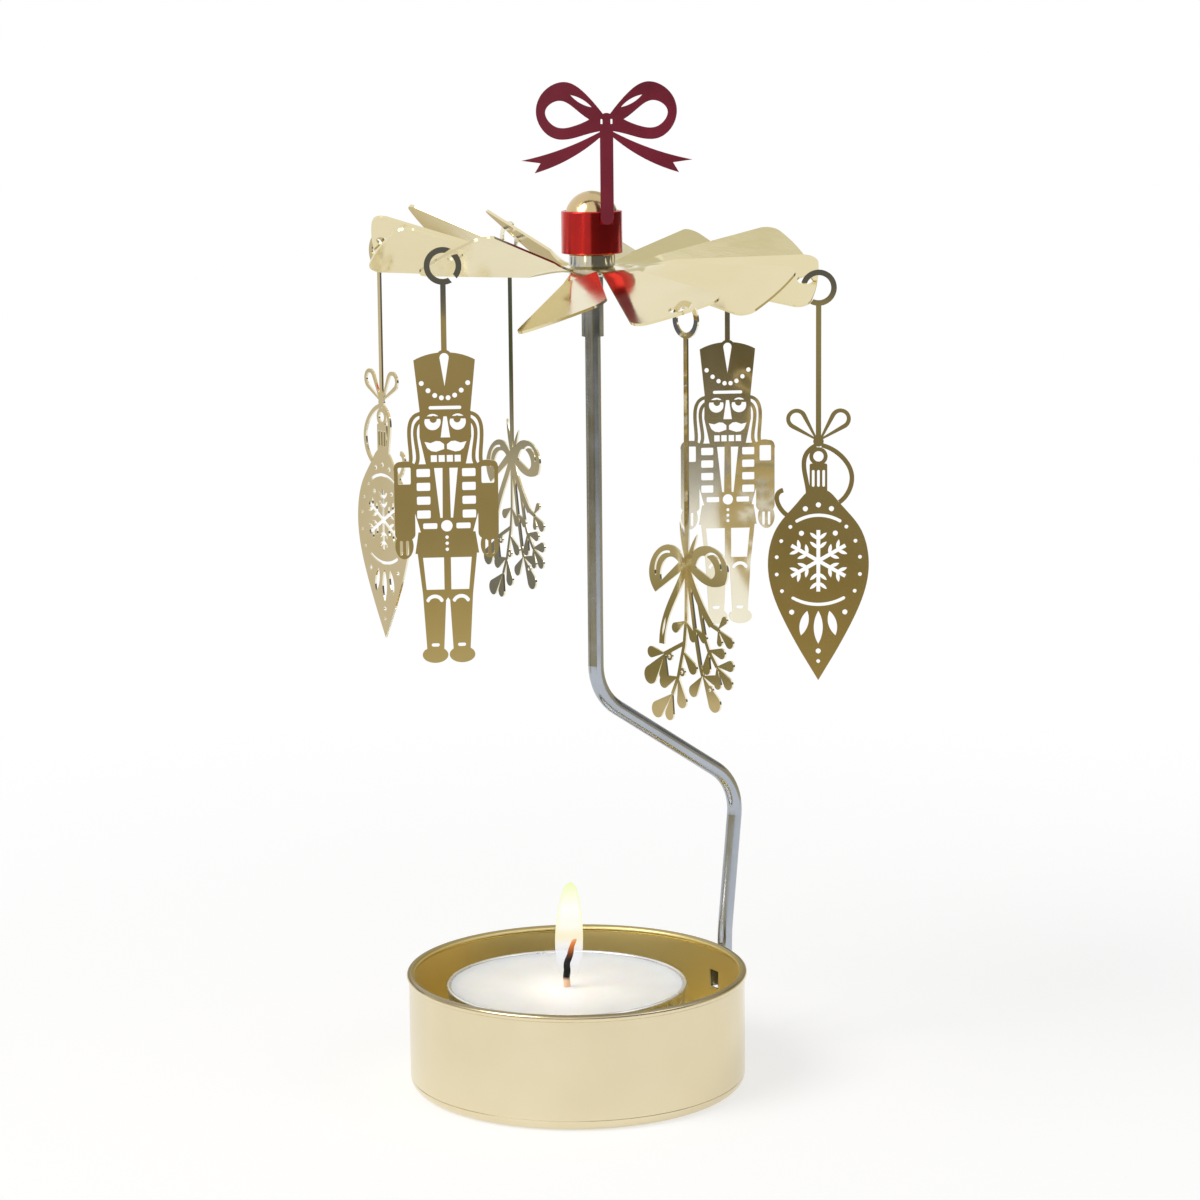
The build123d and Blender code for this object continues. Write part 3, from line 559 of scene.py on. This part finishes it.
def drawn_tin(metals):
    """Champagne tin with upright drawing streaks, a seam over its foot, a duller gold inside and a painted
    dark line of shade along the top of its rim.
    """
    wall_blend = 0.1 * MM
    inside_roughness = 0.42
    rim_shade_height = 0.6 * MM
    rim_shade_tone = (0.42, 0.40, 0.36)
    seam_low = 1.2 * MM
    seam_high = 2.4 * MM
    seam_depth = 0.1 * MM
    material = metal(
        "drawn_tin", metals.tin, metals.tin_shade, drift_scale=60.0, clean=0.17, worn=0.26,
        smudge_scale=90.0, stretch=(900.0, 900.0, 30.0), depth=0.008 * MM,
    )
    tree, surface = nodes_of(material)
    split = add_node(tree, "ShaderNodeSeparateXYZ", Vector=object_place(tree))
    level = add_node(tree, "ShaderNodeCombineXYZ", X=split.outputs["X"], Y=split.outputs["Y"])
    inside = remap(
        tree, measure(tree, level.outputs["Vector"]), From_Min=CUP_WALL_MIDDLE - wall_blend,
        From_Max=CUP_WALL_MIDDLE, To_Min=1.0, To_Max=0.0,
    )
    normal = tree.nodes.new("ShaderNodeTexCoord").outputs["Normal"]
    facing = add_node(tree, "ShaderNodeSeparateXYZ", Vector=normal)
    not_under = remap(tree, facing.outputs["Z"], From_Min=-0.10, From_Max=-0.02)
    gilt = combine(tree, "MULTIPLY", inside, not_under)
    gold = mix(tree, gilt, source(surface, "Base Color"), opaque(metals.tin_inside))
    dull = mix(tree, gilt, source(surface, "Roughness"), inside_roughness, kind="FLOAT")
    # Painted shade: a thin dark line along the top of the rim, multiplied into the tin's colour
    painted_rim_shade = height_ramp(
        tree, CUP_HIGH.z - rim_shade_height, CUP_HIGH.z,
        ((0.0, 1.0), (0.4, 1.0), (0.65, rim_shade_tone), (1.0, rim_shade_tone)),
    )
    seam = height_ramp(
        tree, seam_low, seam_high,
        ((0.0, 1.0), (0.42, 1.0), (0.5, 0.0), (0.58, 0.9), (1.0, 0.9)),
    )
    groove = add_node(
        tree, "ShaderNodeBump", Strength=0.6, Distance=seam_depth, Height=seam,
        Normal=source(surface, "Normal"),
    )
    feed(
        tree, surface, Base_Color=mix(tree, 1.0, gold, painted_rim_shade, blend="MULTIPLY"), Roughness=dull,
        Normal=groove.outputs["Normal"],
    )
    return material


def drawn_steel(metals):
    """Grey steel wire with fine lines along its length."""
    return metal(
        "drawn_steel", metals.steel, shaded(metals.steel, share=0.8), drift_scale=90.0, clean=0.14,
        worn=0.30, smudge_scale=220.0, stretch=(5200.0, 5200.0, 90.0), depth=0.010 * MM,
    )


def bright_vane_brass(metals):
    """Pale mirror brass with a faint rolled grain."""
    return metal(
        "bright_vane_brass", metals.vane, metals.vane_shade, drift_scale=45.0, clean=0.07, worn=0.16,
        smudge_scale=110.0, stretch=(300.0, 300.0, 300.0), depth=0.02 * MM,
    )


def etched_brass(name, metals, clean, worn):
    """Olive-gold etched sheet, a little tarnished."""
    return metal(
        name, metals.figure, metals.figure_shade, drift_scale=120.0, clean=clean, worn=worn,
        smudge_scale=200.0, stretch=(2600.0, 2600.0, 420.0), depth=0.003 * MM,
    )


def polished_brass(metals):
    """Turned and polished brass of the cap."""
    return metal(
        "polished_brass", metals.cap, shaded(metals.cap, share=0.85), drift_scale=240.0, clean=0.14,
        worn=0.24, smudge_scale=420.0, stretch=(500.0, 500.0, 6500.0), depth=0.006 * MM,
    )


def plated_steel(name, metals):
    """Bright plating with turned rings."""
    plating = 0.40
    bright = [part + plating for part in shaded(metals.steel, share=0.55)]
    return metal(
        name, bright, metals.vane, drift_scale=320.0, clean=0.06, worn=0.16, smudge_scale=500.0,
        stretch=(500.0, 500.0, 7000.0), depth=0.006 * MM,
    )


def pressed_aluminium(metals):
    """Thin aluminium with the upright creases of a pressed shell."""
    return metal(
        "pressed_aluminium", metals.aluminium, shaded(metals.aluminium, share=0.88), drift_scale=90.0,
        clean=0.20, worn=0.36, smudge_scale=240.0, stretch=(1800.0, 1800.0, 70.0), depth=0.03 * MM,
    )


def red_lacquer(name, red, gloss, metallic):
    """Red stove lacquer with a slight orange peel under a clear coat, clearer where it is metallic."""
    plain_roughness = 0.36
    metal_gain = 0.22
    smudge_gain = 0.08
    roughness = plain_roughness - metal_gain * metallic
    return finish_surface(
        name, red, shaded(red, share=0.72), drift_scale=150.0, clean=roughness, worn=roughness + smudge_gain,
        smudge_scale=260.0, stretch=(1500.0, 1500.0, 1500.0), depth=0.012 * MM, Metallic=metallic,
        Specular_IOR_Level=0.2, Coat_Weight=gloss, Coat_Roughness=0.12,
    )


def paraffin(candle):
    """White wax that lets some light in, with dull and smooth patches."""
    return finish_surface(
        "paraffin", candle.wax, shaded(candle.wax, share=0.95), drift_scale=180.0, clean=0.34, worn=0.50,
        smudge_scale=150.0, stretch=(420.0, 420.0, 420.0), depth=0.02 * MM, Subsurface_Weight=0.6,
        Subsurface_Radius=(1.0, 0.75, 0.5), Subsurface_Scale=3.0 * MM,
    )


def charred_cotton():
    """Wick cotton: waxy at its foot, black where it has burnt and glowing at its tip."""
    soot = 0.004
    ash = (0.014, 0.011, 0.010)
    waxy = (0.95, 0.64, 0.42)
    wax_cover = 0.5 * MM
    material = finish_surface(
        "charred_cotton", soot, ash, drift_scale=900.0, clean=0.65, worn=0.95, smudge_scale=1500.0,
        stretch=(4000.0, 4000.0, 4000.0), depth=0.1 * MM, Specular_IOR_Level=0.1, Emission_Strength=1.0,
    )
    tree, surface = nodes_of(material)
    unburnt = height_ramp(
        tree, WAX_HIGH.z - wax_cover, WICK_HIGH.z, ((0.0, 1.0), (0.18, 0.9), (0.25, 0.0)),
    )
    ember = height_ramp(
        tree, WAX_HIGH.z, WICK_HIGH.z,
        (
            (0.0, 0.0), (0.58, 0.0), (0.68, (0.14, 0.03, 0.004)), (0.85, (0.60, 0.14, 0.01)),
            (1.0, (0.85, 0.34, 0.10)),
        ),
    )
    cotton = mix(tree, unburnt, source(surface, "Base Color"), opaque(waxy))
    feed(tree, surface, Base_Color=cotton, Emission_Color=ember)
    return material


def candle_flame(low, high):
    """A clear flame: white heart, pale yellow edge and tip, open in front of the wick."""
    tip = (0.86, 0.98, 0.42)
    material = glowing("candle_flame")
    tree, surface = nodes_of(material)
    heart = height_ramp(
        tree, low, high,
        (
            (0.0, (0.92, 0.93, 1.0)), (0.30, (0.94, 0.95, 1.0)), (0.44, (1.0, 0.90, 0.62)),
            (0.56, (1.0, 0.99, 0.86)), (0.74, (1.0, 1.0, 0.98)), (0.86, (0.99, 1.0, 0.72)), (1.0, tip),
        ),
    )
    rim = height_ramp(
        tree, low, high,
        (
            (0.0, (0.80, 0.84, 0.92)), (0.30, (0.90, 0.88, 0.90)), (0.44, (1.0, 0.95, 0.66)),
            (0.70, (0.98, 1.0, 0.64)), (1.0, tip),
        ),
    )
    front = height_ramp(
        tree, low, high, ((0.0, 0.0), (0.43, 0.02), (0.50, 0.4), (0.58, 0.98), (1.0, 0.9)),
    )
    behind = height_ramp(
        tree, low, high, ((0.0, 0.0), (0.08, 0.05), (0.18, 0.4), (0.34, 0.97), (1.0, 0.9)),
    )
    edge = add_node(tree, "ShaderNodeLayerWeight", Blend=0.5).outputs["Facing"]
    colour = mix(tree, remap(tree, edge, From_Min=0.25, From_Max=0.8), heart, rim)
    backfacing = tree.nodes.new("ShaderNodeNewGeometry").outputs["Backfacing"]
    wall = mix(tree, backfacing, front, behind, kind="FLOAT")
    outline = remap(tree, edge, "SMOOTHSTEP", From_Min=0.75, From_Max=0.98, To_Min=1.0, To_Max=0.0)
    feed(tree, surface, Emission_Color=colour, Alpha=combine(tree, "MULTIPLY", wall, outline))
    return material


# Modelling helpers

def start_ring(name, sides, radius, place):
    """Add an open circle at its size and place, ready in edit mode with all of it selected."""
    bpy.ops.object.select_all(action="DESELECT")
    bpy.ops.mesh.primitive_circle_add(vertices=sides, radius=radius, location=place)
    piece = bpy.context.active_object
    piece.name = name
    piece.data.name = name
    bpy.ops.object.transform_apply(location=True, rotation=True, scale=True)
    bpy.ops.object.mode_set(mode="EDIT")
    bpy.ops.mesh.select_mode(type="VERT")
    bpy.ops.mesh.select_all(action="SELECT")
    return piece


def pick_foot(piece, level):
    """Select the vertices at the foot of a piece."""
    mesh = bmesh.from_edit_mesh(piece.data)
    bpy.ops.mesh.select_all(action="DESELECT")
    for vertex in mesh.verts:
        vertex.select_set(vertex.co.z < level + LEVEL_ROOM)
    mesh.select_flush(True)
    bmesh.update_edit_mesh(piece.data)


def extrude(step):
    """Extrude what is selected by a step."""
    bpy.ops.mesh.extrude_region_move(TRANSFORM_OT_translate={"value": step})


def close_piece(piece, smooth_angle):
    """Merge doubles, turn the normals outwards, smooth the shading and divide the piece once."""
    bpy.ops.mesh.select_all(action="SELECT")
    bpy.ops.mesh.remove_doubles(threshold=MERGE_ROOM)
    bpy.ops.mesh.normals_make_consistent(inside=False)
    bpy.ops.object.mode_set(mode="OBJECT")
    bpy.ops.object.shade_smooth_by_angle(angle=radians(smooth_angle))
    apply_modifier(piece, "SUBSURF", levels=1, render_levels=1)


def stack_rings(name, sides, rings):
    """Raise a round piece from rings of (radius, x, y, z), each extruded from the last."""
    radius, x, y, z = rings[0]
    piece = start_ring(name, sides, radius, (x, y, z))
    for radius_next, x_next, y_next, z_next in rings[1:]:
        extrude((x_next - x, y_next - y, z_next - z))
        ratio = radius_next / radius
        bpy.ops.transform.resize(value=(ratio, ratio, 1), center_override=(x_next, y_next, z_next))
        radius, x, y, z = radius_next, x_next, y_next, z_next
    bpy.ops.mesh.merge(type="CENTER")
    return piece


def apply_modifier(piece, kind, **settings):
    """Add a modifier with its settings and apply it."""
    modifier = piece.modifiers.new(kind.title(), kind)
    for name, value in settings.items():
        setattr(modifier, name, value)
    bpy.ops.object.modifier_apply(modifier=modifier.name)


def make_wax(candle):
    """Wax fill: a wall against the shell, a raised rim and a melted pool that climbs the wick."""
    sides = 96
    unevenness = 0.05 * MM
    unevenness_width = 8.0 * MM
    corner = 0.4 * MM
    top = WAX_HIGH.z
    wall = (
        (WAX_RADIUS - corner, WAX_LOW.z),
        (WAX_RADIUS, WAX_LOW.z + corner),
        (WAX_RADIUS, top - 2.0 * MM),
        (WAX_RADIUS, top + 0.50 * MM),
    )
    rim = (
        (WAX_RADIUS - 0.12 * MM, top + 0.52 * MM),
        (WAX_RADIUS - 0.6 * MM, top + 0.25 * MM),
        (WAX_RADIUS - 1.8 * MM, top),
    )
    # Shares of the wax's radius, then of the wick's, each with its share of the pool's depth
    pool = ((0.78, 0.45), (0.62, 0.80), (0.45, 0.95), (0.28, 1.0), (0.14, 0.95))
    climb = ((1.6, 0.75), (1.05, 0.1), (0.7, 0.0))
    profile = [*wall, *rim]
    for whole, shares in ((WAX_RADIUS, pool), (WICK_RADIUS, climb)):
        profile += [(share * whole, top - depth * candle.pool_depth) for share, depth in shares]
    rings = [(radius, WAX_CENTRE.x, WAX_CENTRE.y, z) for radius, z in profile]
    piece = stack_rings("wax_fill", sides, rings)
    pick_foot(piece, WAX_LOW.z)
    bpy.ops.mesh.edge_face_add()
    close_piece(piece, smooth_angle=40)
    uneven = bpy.data.textures.new("wax_unevenness", "CLOUDS")
    uneven.noise_scale = unevenness_width
    apply_modifier(
        piece, "DISPLACE", texture=uneven, texture_coords="LOCAL", direction="Z", strength=unevenness,
        mid_level=1.0,
    )
    return piece


def make_wick(candle):
    """Wick: a three-strand twist that leans over and tapers where it burns."""
    sides = 18
    strands = 3
    lobe = 0.16
    foot_radius = 0.92 * WICK_RADIUS
    twist = radians(17)
    straight_top = WAX_HIGH.z + 2.6 * MM
    bent_top = WICK_HIGH.z - 0.45 * MM
    lean_step = radians(4)
    lean_end = radians(16)
    taper = 0.985
    tip_rise = 0.5
    tip_width = 0.6
    foot = Vector((WAX_CENTRE.x, WAX_CENTRE.y, WICK_LOW.z))
    piece = start_ring("wick_cord", sides, foot_radius, foot)
    mesh = bmesh.from_edit_mesh(piece.data)
    for vertex in mesh.verts:
        offset = vertex.co - foot
        angle = Vector((1, 0)).angle_signed(offset.xy)
        vertex.co = foot + offset * (1 + lobe * cos(strands * angle)) / (1 + lobe)
    bmesh.update_edit_mesh(piece.data)
    place = foot.copy()
    lean = 0.0
    while place.z < bent_top:
        if place.z > straight_top:
            lean = min(lean + lean_step, lean_end)
        step = Vector((sin(lean), 0, cos(lean))) * candle.wick_pitch
        extrude(step)
        place = place + step
        bpy.ops.transform.rotate(value=twist, orient_axis="Z", center_override=place)
        if place.z > straight_top:
            bpy.ops.transform.resize(value=(taper, taper, taper), center_override=place)
            if lean < lean_end:
                bpy.ops.transform.rotate(value=-lean_step, orient_axis="Y", center_override=place)
    tip = step * tip_rise
    extrude(tip)
    bpy.ops.transform.resize(value=(tip_width, tip_width, tip_width), center_override=place + tip)
    bpy.ops.mesh.edge_face_add()
    pick_foot(piece, WICK_LOW.z)
    bpy.ops.mesh.edge_face_add()
    close_piece(piece, smooth_angle=60)
    return piece


def make_flame(candle):
    """Flame: a tall drop, widest below its middle, that leans a little with the wick."""
    sides = 40
    steps = 26
    belly = 0.8
    fullness = 0.55
    half_width = candle.flame_width / 2
    foot_x = WAX_CENTRE.x + 0.35 * MM
    low = WAX_HIGH.z + 0.1 * MM
    rings = []
    for step in range(1, steps):
        share = step / steps
        radius = half_width * sin(pi * share**belly) ** fullness
        x = foot_x + candle.flame_lean * share**2
        rings.append((radius, x, WAX_CENTRE.y, low + candle.flame_height * share))
    piece = stack_rings("flame", sides, rings)
    pick_foot(piece, rings[0][3])
    bpy.ops.mesh.merge(type="CENTER")
    close_piece(piece, smooth_angle=80)
    return piece, low, low + candle.flame_height


# Stage helpers

def add_flame_glow(candle, level):
    """A small lamp inside the flame."""
    glow = bpy.data.lights.new("flame_glow", "POINT")
    glow.energy = candle.glow_power
    glow.color = candle.glow
    glow.shadow_soft_size = 2.0 * MM
    holder = bpy.data.objects.new("flame_glow", glow)
    holder.location = (WAX_CENTRE.x, WAX_CENTRE.y, level)
    bpy.context.scene.collection.objects.link(holder)
    return holder


def add_area_lamp(name, place, size, power, colour):
    """A large soft lamp that faces the object."""
    lamp = bpy.data.lights.new(name, "AREA")
    lamp.shape = "DISK"
    lamp.size = size
    lamp.energy = power
    lamp.color = colour
    holder = bpy.data.objects.new(name, lamp)
    holder.location = place
    holder.rotation_mode = "QUATERNION"
    holder.rotation_quaternion = (Vector(LAMP_AIM) - Vector(place)).to_track_quat("-Z", "Y")
    bpy.context.scene.collection.objects.link(holder)


def add_camera(studio):
    """The camera, turned by yaw, pitch and roll, with the lens of the square picture."""
    yaw, pitch, roll = studio.camera_yaw, studio.camera_pitch, studio.camera_roll
    forward = Vector((sin(yaw) * cos(pitch), cos(yaw) * cos(pitch), -sin(pitch)))
    level = Vector((cos(yaw), -sin(yaw), 0))
    upright = level.cross(forward)
    right = level * cos(roll) + upright * sin(roll)
    top = upright * cos(roll) - level * sin(roll)
    turn = Matrix((right, top, -forward)).transposed()
    lens = bpy.data.cameras.new("camera")
    lens.sensor_width = SENSOR_WIDTH
    lens.lens = studio.focal_pixels / PHOTO_PIXELS * SENSOR_WIDTH
    lens.clip_start = CLIP_START
    camera = bpy.data.objects.new("camera", lens)
    camera.matrix_world = Matrix.Translation(Vector(studio.camera_place)) @ turn.to_4x4()
    bpy.context.scene.collection.objects.link(camera)
    bpy.context.scene.camera = camera


def background_rays(tree):
    """A value of 1 for rays that show the background: from the camera, a mirror or clear matter."""
    rays = tree.nodes.new("ShaderNodeLightPath").outputs
    seen = combine(tree, "MAXIMUM", rays["Is Camera Ray"], rays["Is Glossy Ray"])
    return combine(tree, "MAXIMUM", seen, rays["Is Transmission Ray"])


def light_world(studio):
    """White all round for the background, and a plainer level for the light that it gives."""
    world = bpy.data.worlds.new("white_room")
    bpy.context.scene.world = world
    world.use_nodes = True
    tree = world.node_tree
    strength = remap(tree, background_rays(tree), To_Min=studio.ambient, To_Max=1.0)
    feed(tree, tree.nodes["Background"], Color=opaque(1.0), Strength=strength)


def pale_table(studio):
    """White table top: paint that takes shadow near the object, and even white towards the edge, where a
    painted reflection dims it only for mirror rays.
    """
    paint_start = 60 * MM
    paint_end = 0.41 * studio.floor_radius
    paint_low = 0.49
    paint_high = 0.51
    least_white = 0.17
    mirror_dim_start = 0.76 * studio.floor_radius
    mirror_dim_end = 0.98 * studio.floor_radius
    mirror_dim_depth = 0.9
    material = new_material(
        "pale_table", Roughness=0.9, Specular_IOR_Level=0.0, Emission_Color=opaque(1.0),
    )
    tree, surface = nodes_of(material)
    place = object_place(tree)
    distance = measure(tree, place)
    near = remap(
        tree, distance, "SMOOTHSTEP", From_Min=paint_start, From_Max=paint_end, To_Min=1.0, To_Max=0.0,
    )
    cloud = add_node(tree, "ShaderNodeTexNoise", Vector=place, Scale=40.0, Detail=2.0)
    mottle = remap(tree, cloud.outputs["Fac"], To_Min=paint_low, To_Max=paint_high)
    paint_share = combine(tree, "MULTIPLY", near, mottle)
    white_share = remap(tree, paint_share, To_Min=1.0, To_Max=least_white)
    # Painted reflection: towards its edge the table is dimmed only for mirror rays, so the metal mirrors a
    # darker floor there while the camera sees white
    mirror_dimming = remap(
        tree, distance, "SMOOTHSTEP", From_Min=mirror_dim_start, From_Max=mirror_dim_end, To_Min=0.0, To_Max=mirror_dim_depth,
    )
    glossy_rays = tree.nodes.new("ShaderNodeLightPath").outputs["Is Glossy Ray"]
    mirror_rays_dimming = combine(tree, "MULTIPLY", mirror_dimming, glossy_rays)
    white_kept = combine(tree, "SUBTRACT", white_share, mirror_rays_dimming)
    glow = combine(tree, "MULTIPLY", white_kept, background_rays(tree))
    feed(tree, surface, Base_Color=paint_share, Emission_Strength=glow)
    return material


def card_paint(card):
    """A glowing board in painted reflection tones that change from its foot to its top."""
    # Painted reflection: the board's glow is only seen in the metal
    material = glowing(card.name)
    tree, surface = nodes_of(material)
    feed(tree, surface, Emission_Color=height_ramp(tree, card.foot, card.top, card.colours))
    return material


def add_floor(studio):
    """A round table top."""
    bpy.ops.object.select_all(action="DESELECT")
    bpy.ops.mesh.primitive_circle_add(
        vertices=FLOOR_SIDES, radius=studio.floor_radius, fill_type="NGON", location=(0, 0, CAD_LOW.z)
    )
    floor = bpy.context.active_object
    floor.name = "table_top"
    bpy.ops.object.transform_apply(location=True)
    floor.data.materials.append(pale_table(studio))


def add_card(card):
    """A curved board that stands round part of the stage and is seen only in the metal, as a painted
    reflection.
    """
    bpy.ops.object.select_all(action="DESELECT")
    angle = radians(card.start)
    corner = (card.radius * cos(angle), card.radius * sin(angle), card.foot)
    bpy.ops.mesh.primitive_plane_add(size=1.0, location=corner)
    board = bpy.context.active_object
    board.name = card.name
    bpy.ops.object.transform_apply(location=True)
    bpy.ops.object.mode_set(mode="EDIT")
    bpy.ops.mesh.select_mode(type="VERT")
    bpy.ops.mesh.select_all(action="SELECT")
    bpy.ops.mesh.merge(type="CENTER")
    bpy.ops.mesh.select_all(action="SELECT")
    extrude((0, 0, card.top - card.foot))
    bpy.ops.mesh.select_all(action="SELECT")
    bpy.ops.mesh.spin(steps=CARD_STEPS, angle=-radians(card.sweep), center=(0, 0, 0), axis=(0, 0, 1))
    bpy.ops.object.mode_set(mode="OBJECT")
    board.data.materials.append(card_paint(card))
    board.visible_camera = False
    board.visible_diffuse = False
    board.visible_shadow = False
    board.visible_transmission = False


# Operators

class CAROUSEL_OT_cup(bpy.types.Operator):
    """Give the drawn cup its champagne tin"""

    bl_idname = "carousel.cup"
    bl_label = "Finish cup"

    def execute(self, context):
        paint(drawn_tin(context.scene.carousel_metals), "cup")
        return {"FINISHED"}


class CAROUSEL_OT_wire(bpy.types.Operator):
    """Give the stand wire and the guide tube their drawn steel"""

    bl_idname = "carousel.wire"
    bl_label = "Finish wire"

    def execute(self, context):
        paint(drawn_steel(context.scene.carousel_metals), "stand_wire", "guide_tube")
        return {"FINISHED"}


class CAROUSEL_OT_hub(bpy.types.Operator):
    """Finish the cap, the collar, the lock ring and the bearing"""

    bl_idname = "carousel.hub"
    bl_label = "Finish hub"

    def execute(self, context):
        metals = context.scene.carousel_metals
        paint(polished_brass(metals), "dome_cap")
        paint(plated_steel("hub_plating", metals), "hub_collar", "lock_ring", "pivot_bearing")
        return {"FINISHED"}


class CAROUSEL_OT_wheel(bpy.types.Operator):
    """Give the vane wheel its pale bright brass"""

    bl_idname = "carousel.wheel"
    bl_label = "Finish vane wheel"

    def execute(self, context):
        paint(bright_vane_brass(context.scene.carousel_metals), "vane_wheel")
        return {"FINISHED"}


class CAROUSEL_OT_bow(bpy.types.Operator):
    """Lacquer the bow and the band under it"""

    bl_idname = "carousel.bow"
    bl_label = "Lacquer bow"

    def execute(self, context):
        lacquer = context.scene.carousel_lacquer
        plain = red_lacquer("bow_lacquer", lacquer.bow, lacquer.gloss, metallic=0.0)
        bright = red_lacquer("band_lacquer", lacquer.band, lacquer.gloss, metallic=lacquer.band_metal)
        paint(plain, "bow_topper")
        paint(bright, "bow_band")
        return {"FINISHED"}


class CAROUSEL_OT_figures(bpy.types.Operator):
    """Give the six hanging figures their etched brass"""

    bl_idname = "carousel.figures"
    bl_label = "Finish figures"

    def execute(self, context):
        metals = context.scene.carousel_metals
        paint(etched_brass("etched_brass", metals, clean=0.03, worn=0.09), *FRESH_FIGURES)
        paint(etched_brass("handled_brass", metals, clean=0.08, worn=0.11), HANDLED_FIGURE)
        return {"FINISHED"}


class CAROUSEL_OT_shell(bpy.types.Operator):
    """Finish the tealight's aluminium shell and its wick holder"""

    bl_idname = "carousel.shell"
    bl_label = "Finish tealight shell"

    def execute(self, context):
        metals = context.scene.carousel_metals
        paint(pressed_aluminium(metals), "tealight_shell")
        paint(plated_steel("holder_plating", metals), "wick_sustainer")
        return {"FINISHED"}


class CAROUSEL_OT_wax(bpy.types.Operator):
    """Model the wax fill with its melted pool"""

    bl_idname = "carousel.wax"
    bl_label = "Model wax"

    def execute(self, context):
        candle = context.scene.carousel_candle
        piece = make_wax(candle)
        piece.data.materials.append(paraffin(candle))
        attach(piece, "tealight")
        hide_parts("tealight_wax")
        return {"FINISHED"}


class CAROUSEL_OT_wick(bpy.types.Operator):
    """Model the twisted wick with its charred and glowing end"""

    bl_idname = "carousel.wick"
    bl_label = "Model wick"

    def execute(self, context):
        piece = make_wick(context.scene.carousel_candle)
        piece.data.materials.append(charred_cotton())
        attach(piece, "tealight")
        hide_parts("wick")
        return {"FINISHED"}


class CAROUSEL_OT_flame(bpy.types.Operator):
    """Model the flame and the small lamp for its glow"""

    bl_idname = "carousel.flame"
    bl_label = "Model flame"

    def execute(self, context):
        candle = context.scene.carousel_candle
        piece, low, high = make_flame(candle)
        piece.data.materials.append(candle_flame(low, high))
        piece.visible_shadow = False
        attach(piece, "tealight")
        lamp = add_flame_glow(candle, (low + high) / 2)
        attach(lamp, "tealight")
        return {"FINISHED"}


class CAROUSEL_OT_stage(bpy.types.Operator):
    """Set up the table top, the white room, the boards, the soft lamps and the camera"""

    bl_idname = "carousel.stage"
    bl_label = "Build stage"

    def execute(self, context):
        studio = context.scene.carousel_studio
        context.scene.view_settings.view_transform = "Standard"
        light_world(studio)
        add_floor(studio)
        for card in CARDS:
            add_card(card)
        add_area_lamp(
            "key_lamp", studio.key_place, studio.key_size, studio.key_power, studio.key_colour,
        )
        add_area_lamp(
            "fill_lamp", studio.fill_place, studio.fill_size, studio.fill_power, studio.fill_colour,
        )
        add_camera(studio)
        return {"FINISHED"}


class CAROUSEL_PT_sidebar(bpy.types.Panel):
    """Lists the pieces and the stage"""

    bl_idname = "CAROUSEL_PT_sidebar"
    bl_label = "Candle Carousel"
    bl_space_type = "VIEW_3D"
    bl_region_type = "UI"
    bl_category = "Carousel"

    def draw(self, context):
        for operator in OPERATORS:
            self.layout.operator(operator.bl_idname)


GROUPS = (CarouselMetals, CarouselLacquer, CarouselCandle, CarouselStudio)
OPERATORS = (
    CAROUSEL_OT_cup,
    CAROUSEL_OT_wire,
    CAROUSEL_OT_hub,
    CAROUSEL_OT_wheel,
    CAROUSEL_OT_bow,
    CAROUSEL_OT_figures,
    CAROUSEL_OT_shell,
    CAROUSEL_OT_wax,
    CAROUSEL_OT_wick,
    CAROUSEL_OT_flame,
    CAROUSEL_OT_stage,
)
CLASSES = GROUPS + OPERATORS + (CAROUSEL_PT_sidebar,)


def register():
    """Register the classes and hang their properties on the scene."""
    for item in CLASSES:
        bpy.utils.register_class(item)
    bpy.types.Scene.carousel_metals = bpy.props.PointerProperty(type=CarouselMetals)
    bpy.types.Scene.carousel_lacquer = bpy.props.PointerProperty(type=CarouselLacquer)
    bpy.types.Scene.carousel_candle = bpy.props.PointerProperty(type=CarouselCandle)
    bpy.types.Scene.carousel_studio = bpy.props.PointerProperty(type=CarouselStudio)


def unregister():
    """Take the properties and the classes away again."""
    del bpy.types.Scene.carousel_studio
    del bpy.types.Scene.carousel_candle
    del bpy.types.Scene.carousel_lacquer
    del bpy.types.Scene.carousel_metals
    for item in reversed(CLASSES):
        bpy.utils.unregister_class(item)


def main():
    """Build every piece in order."""
    register()
    bpy.ops.carousel.cup()
    bpy.ops.carousel.wire()
    bpy.ops.carousel.hub()
    bpy.ops.carousel.wheel()
    bpy.ops.carousel.bow()
    bpy.ops.carousel.figures()
    bpy.ops.carousel.shell()
    bpy.ops.carousel.wax()
    bpy.ops.carousel.wick()
    bpy.ops.carousel.flame()
    bpy.ops.carousel.stage()


if __name__ == "__main__":
    main()
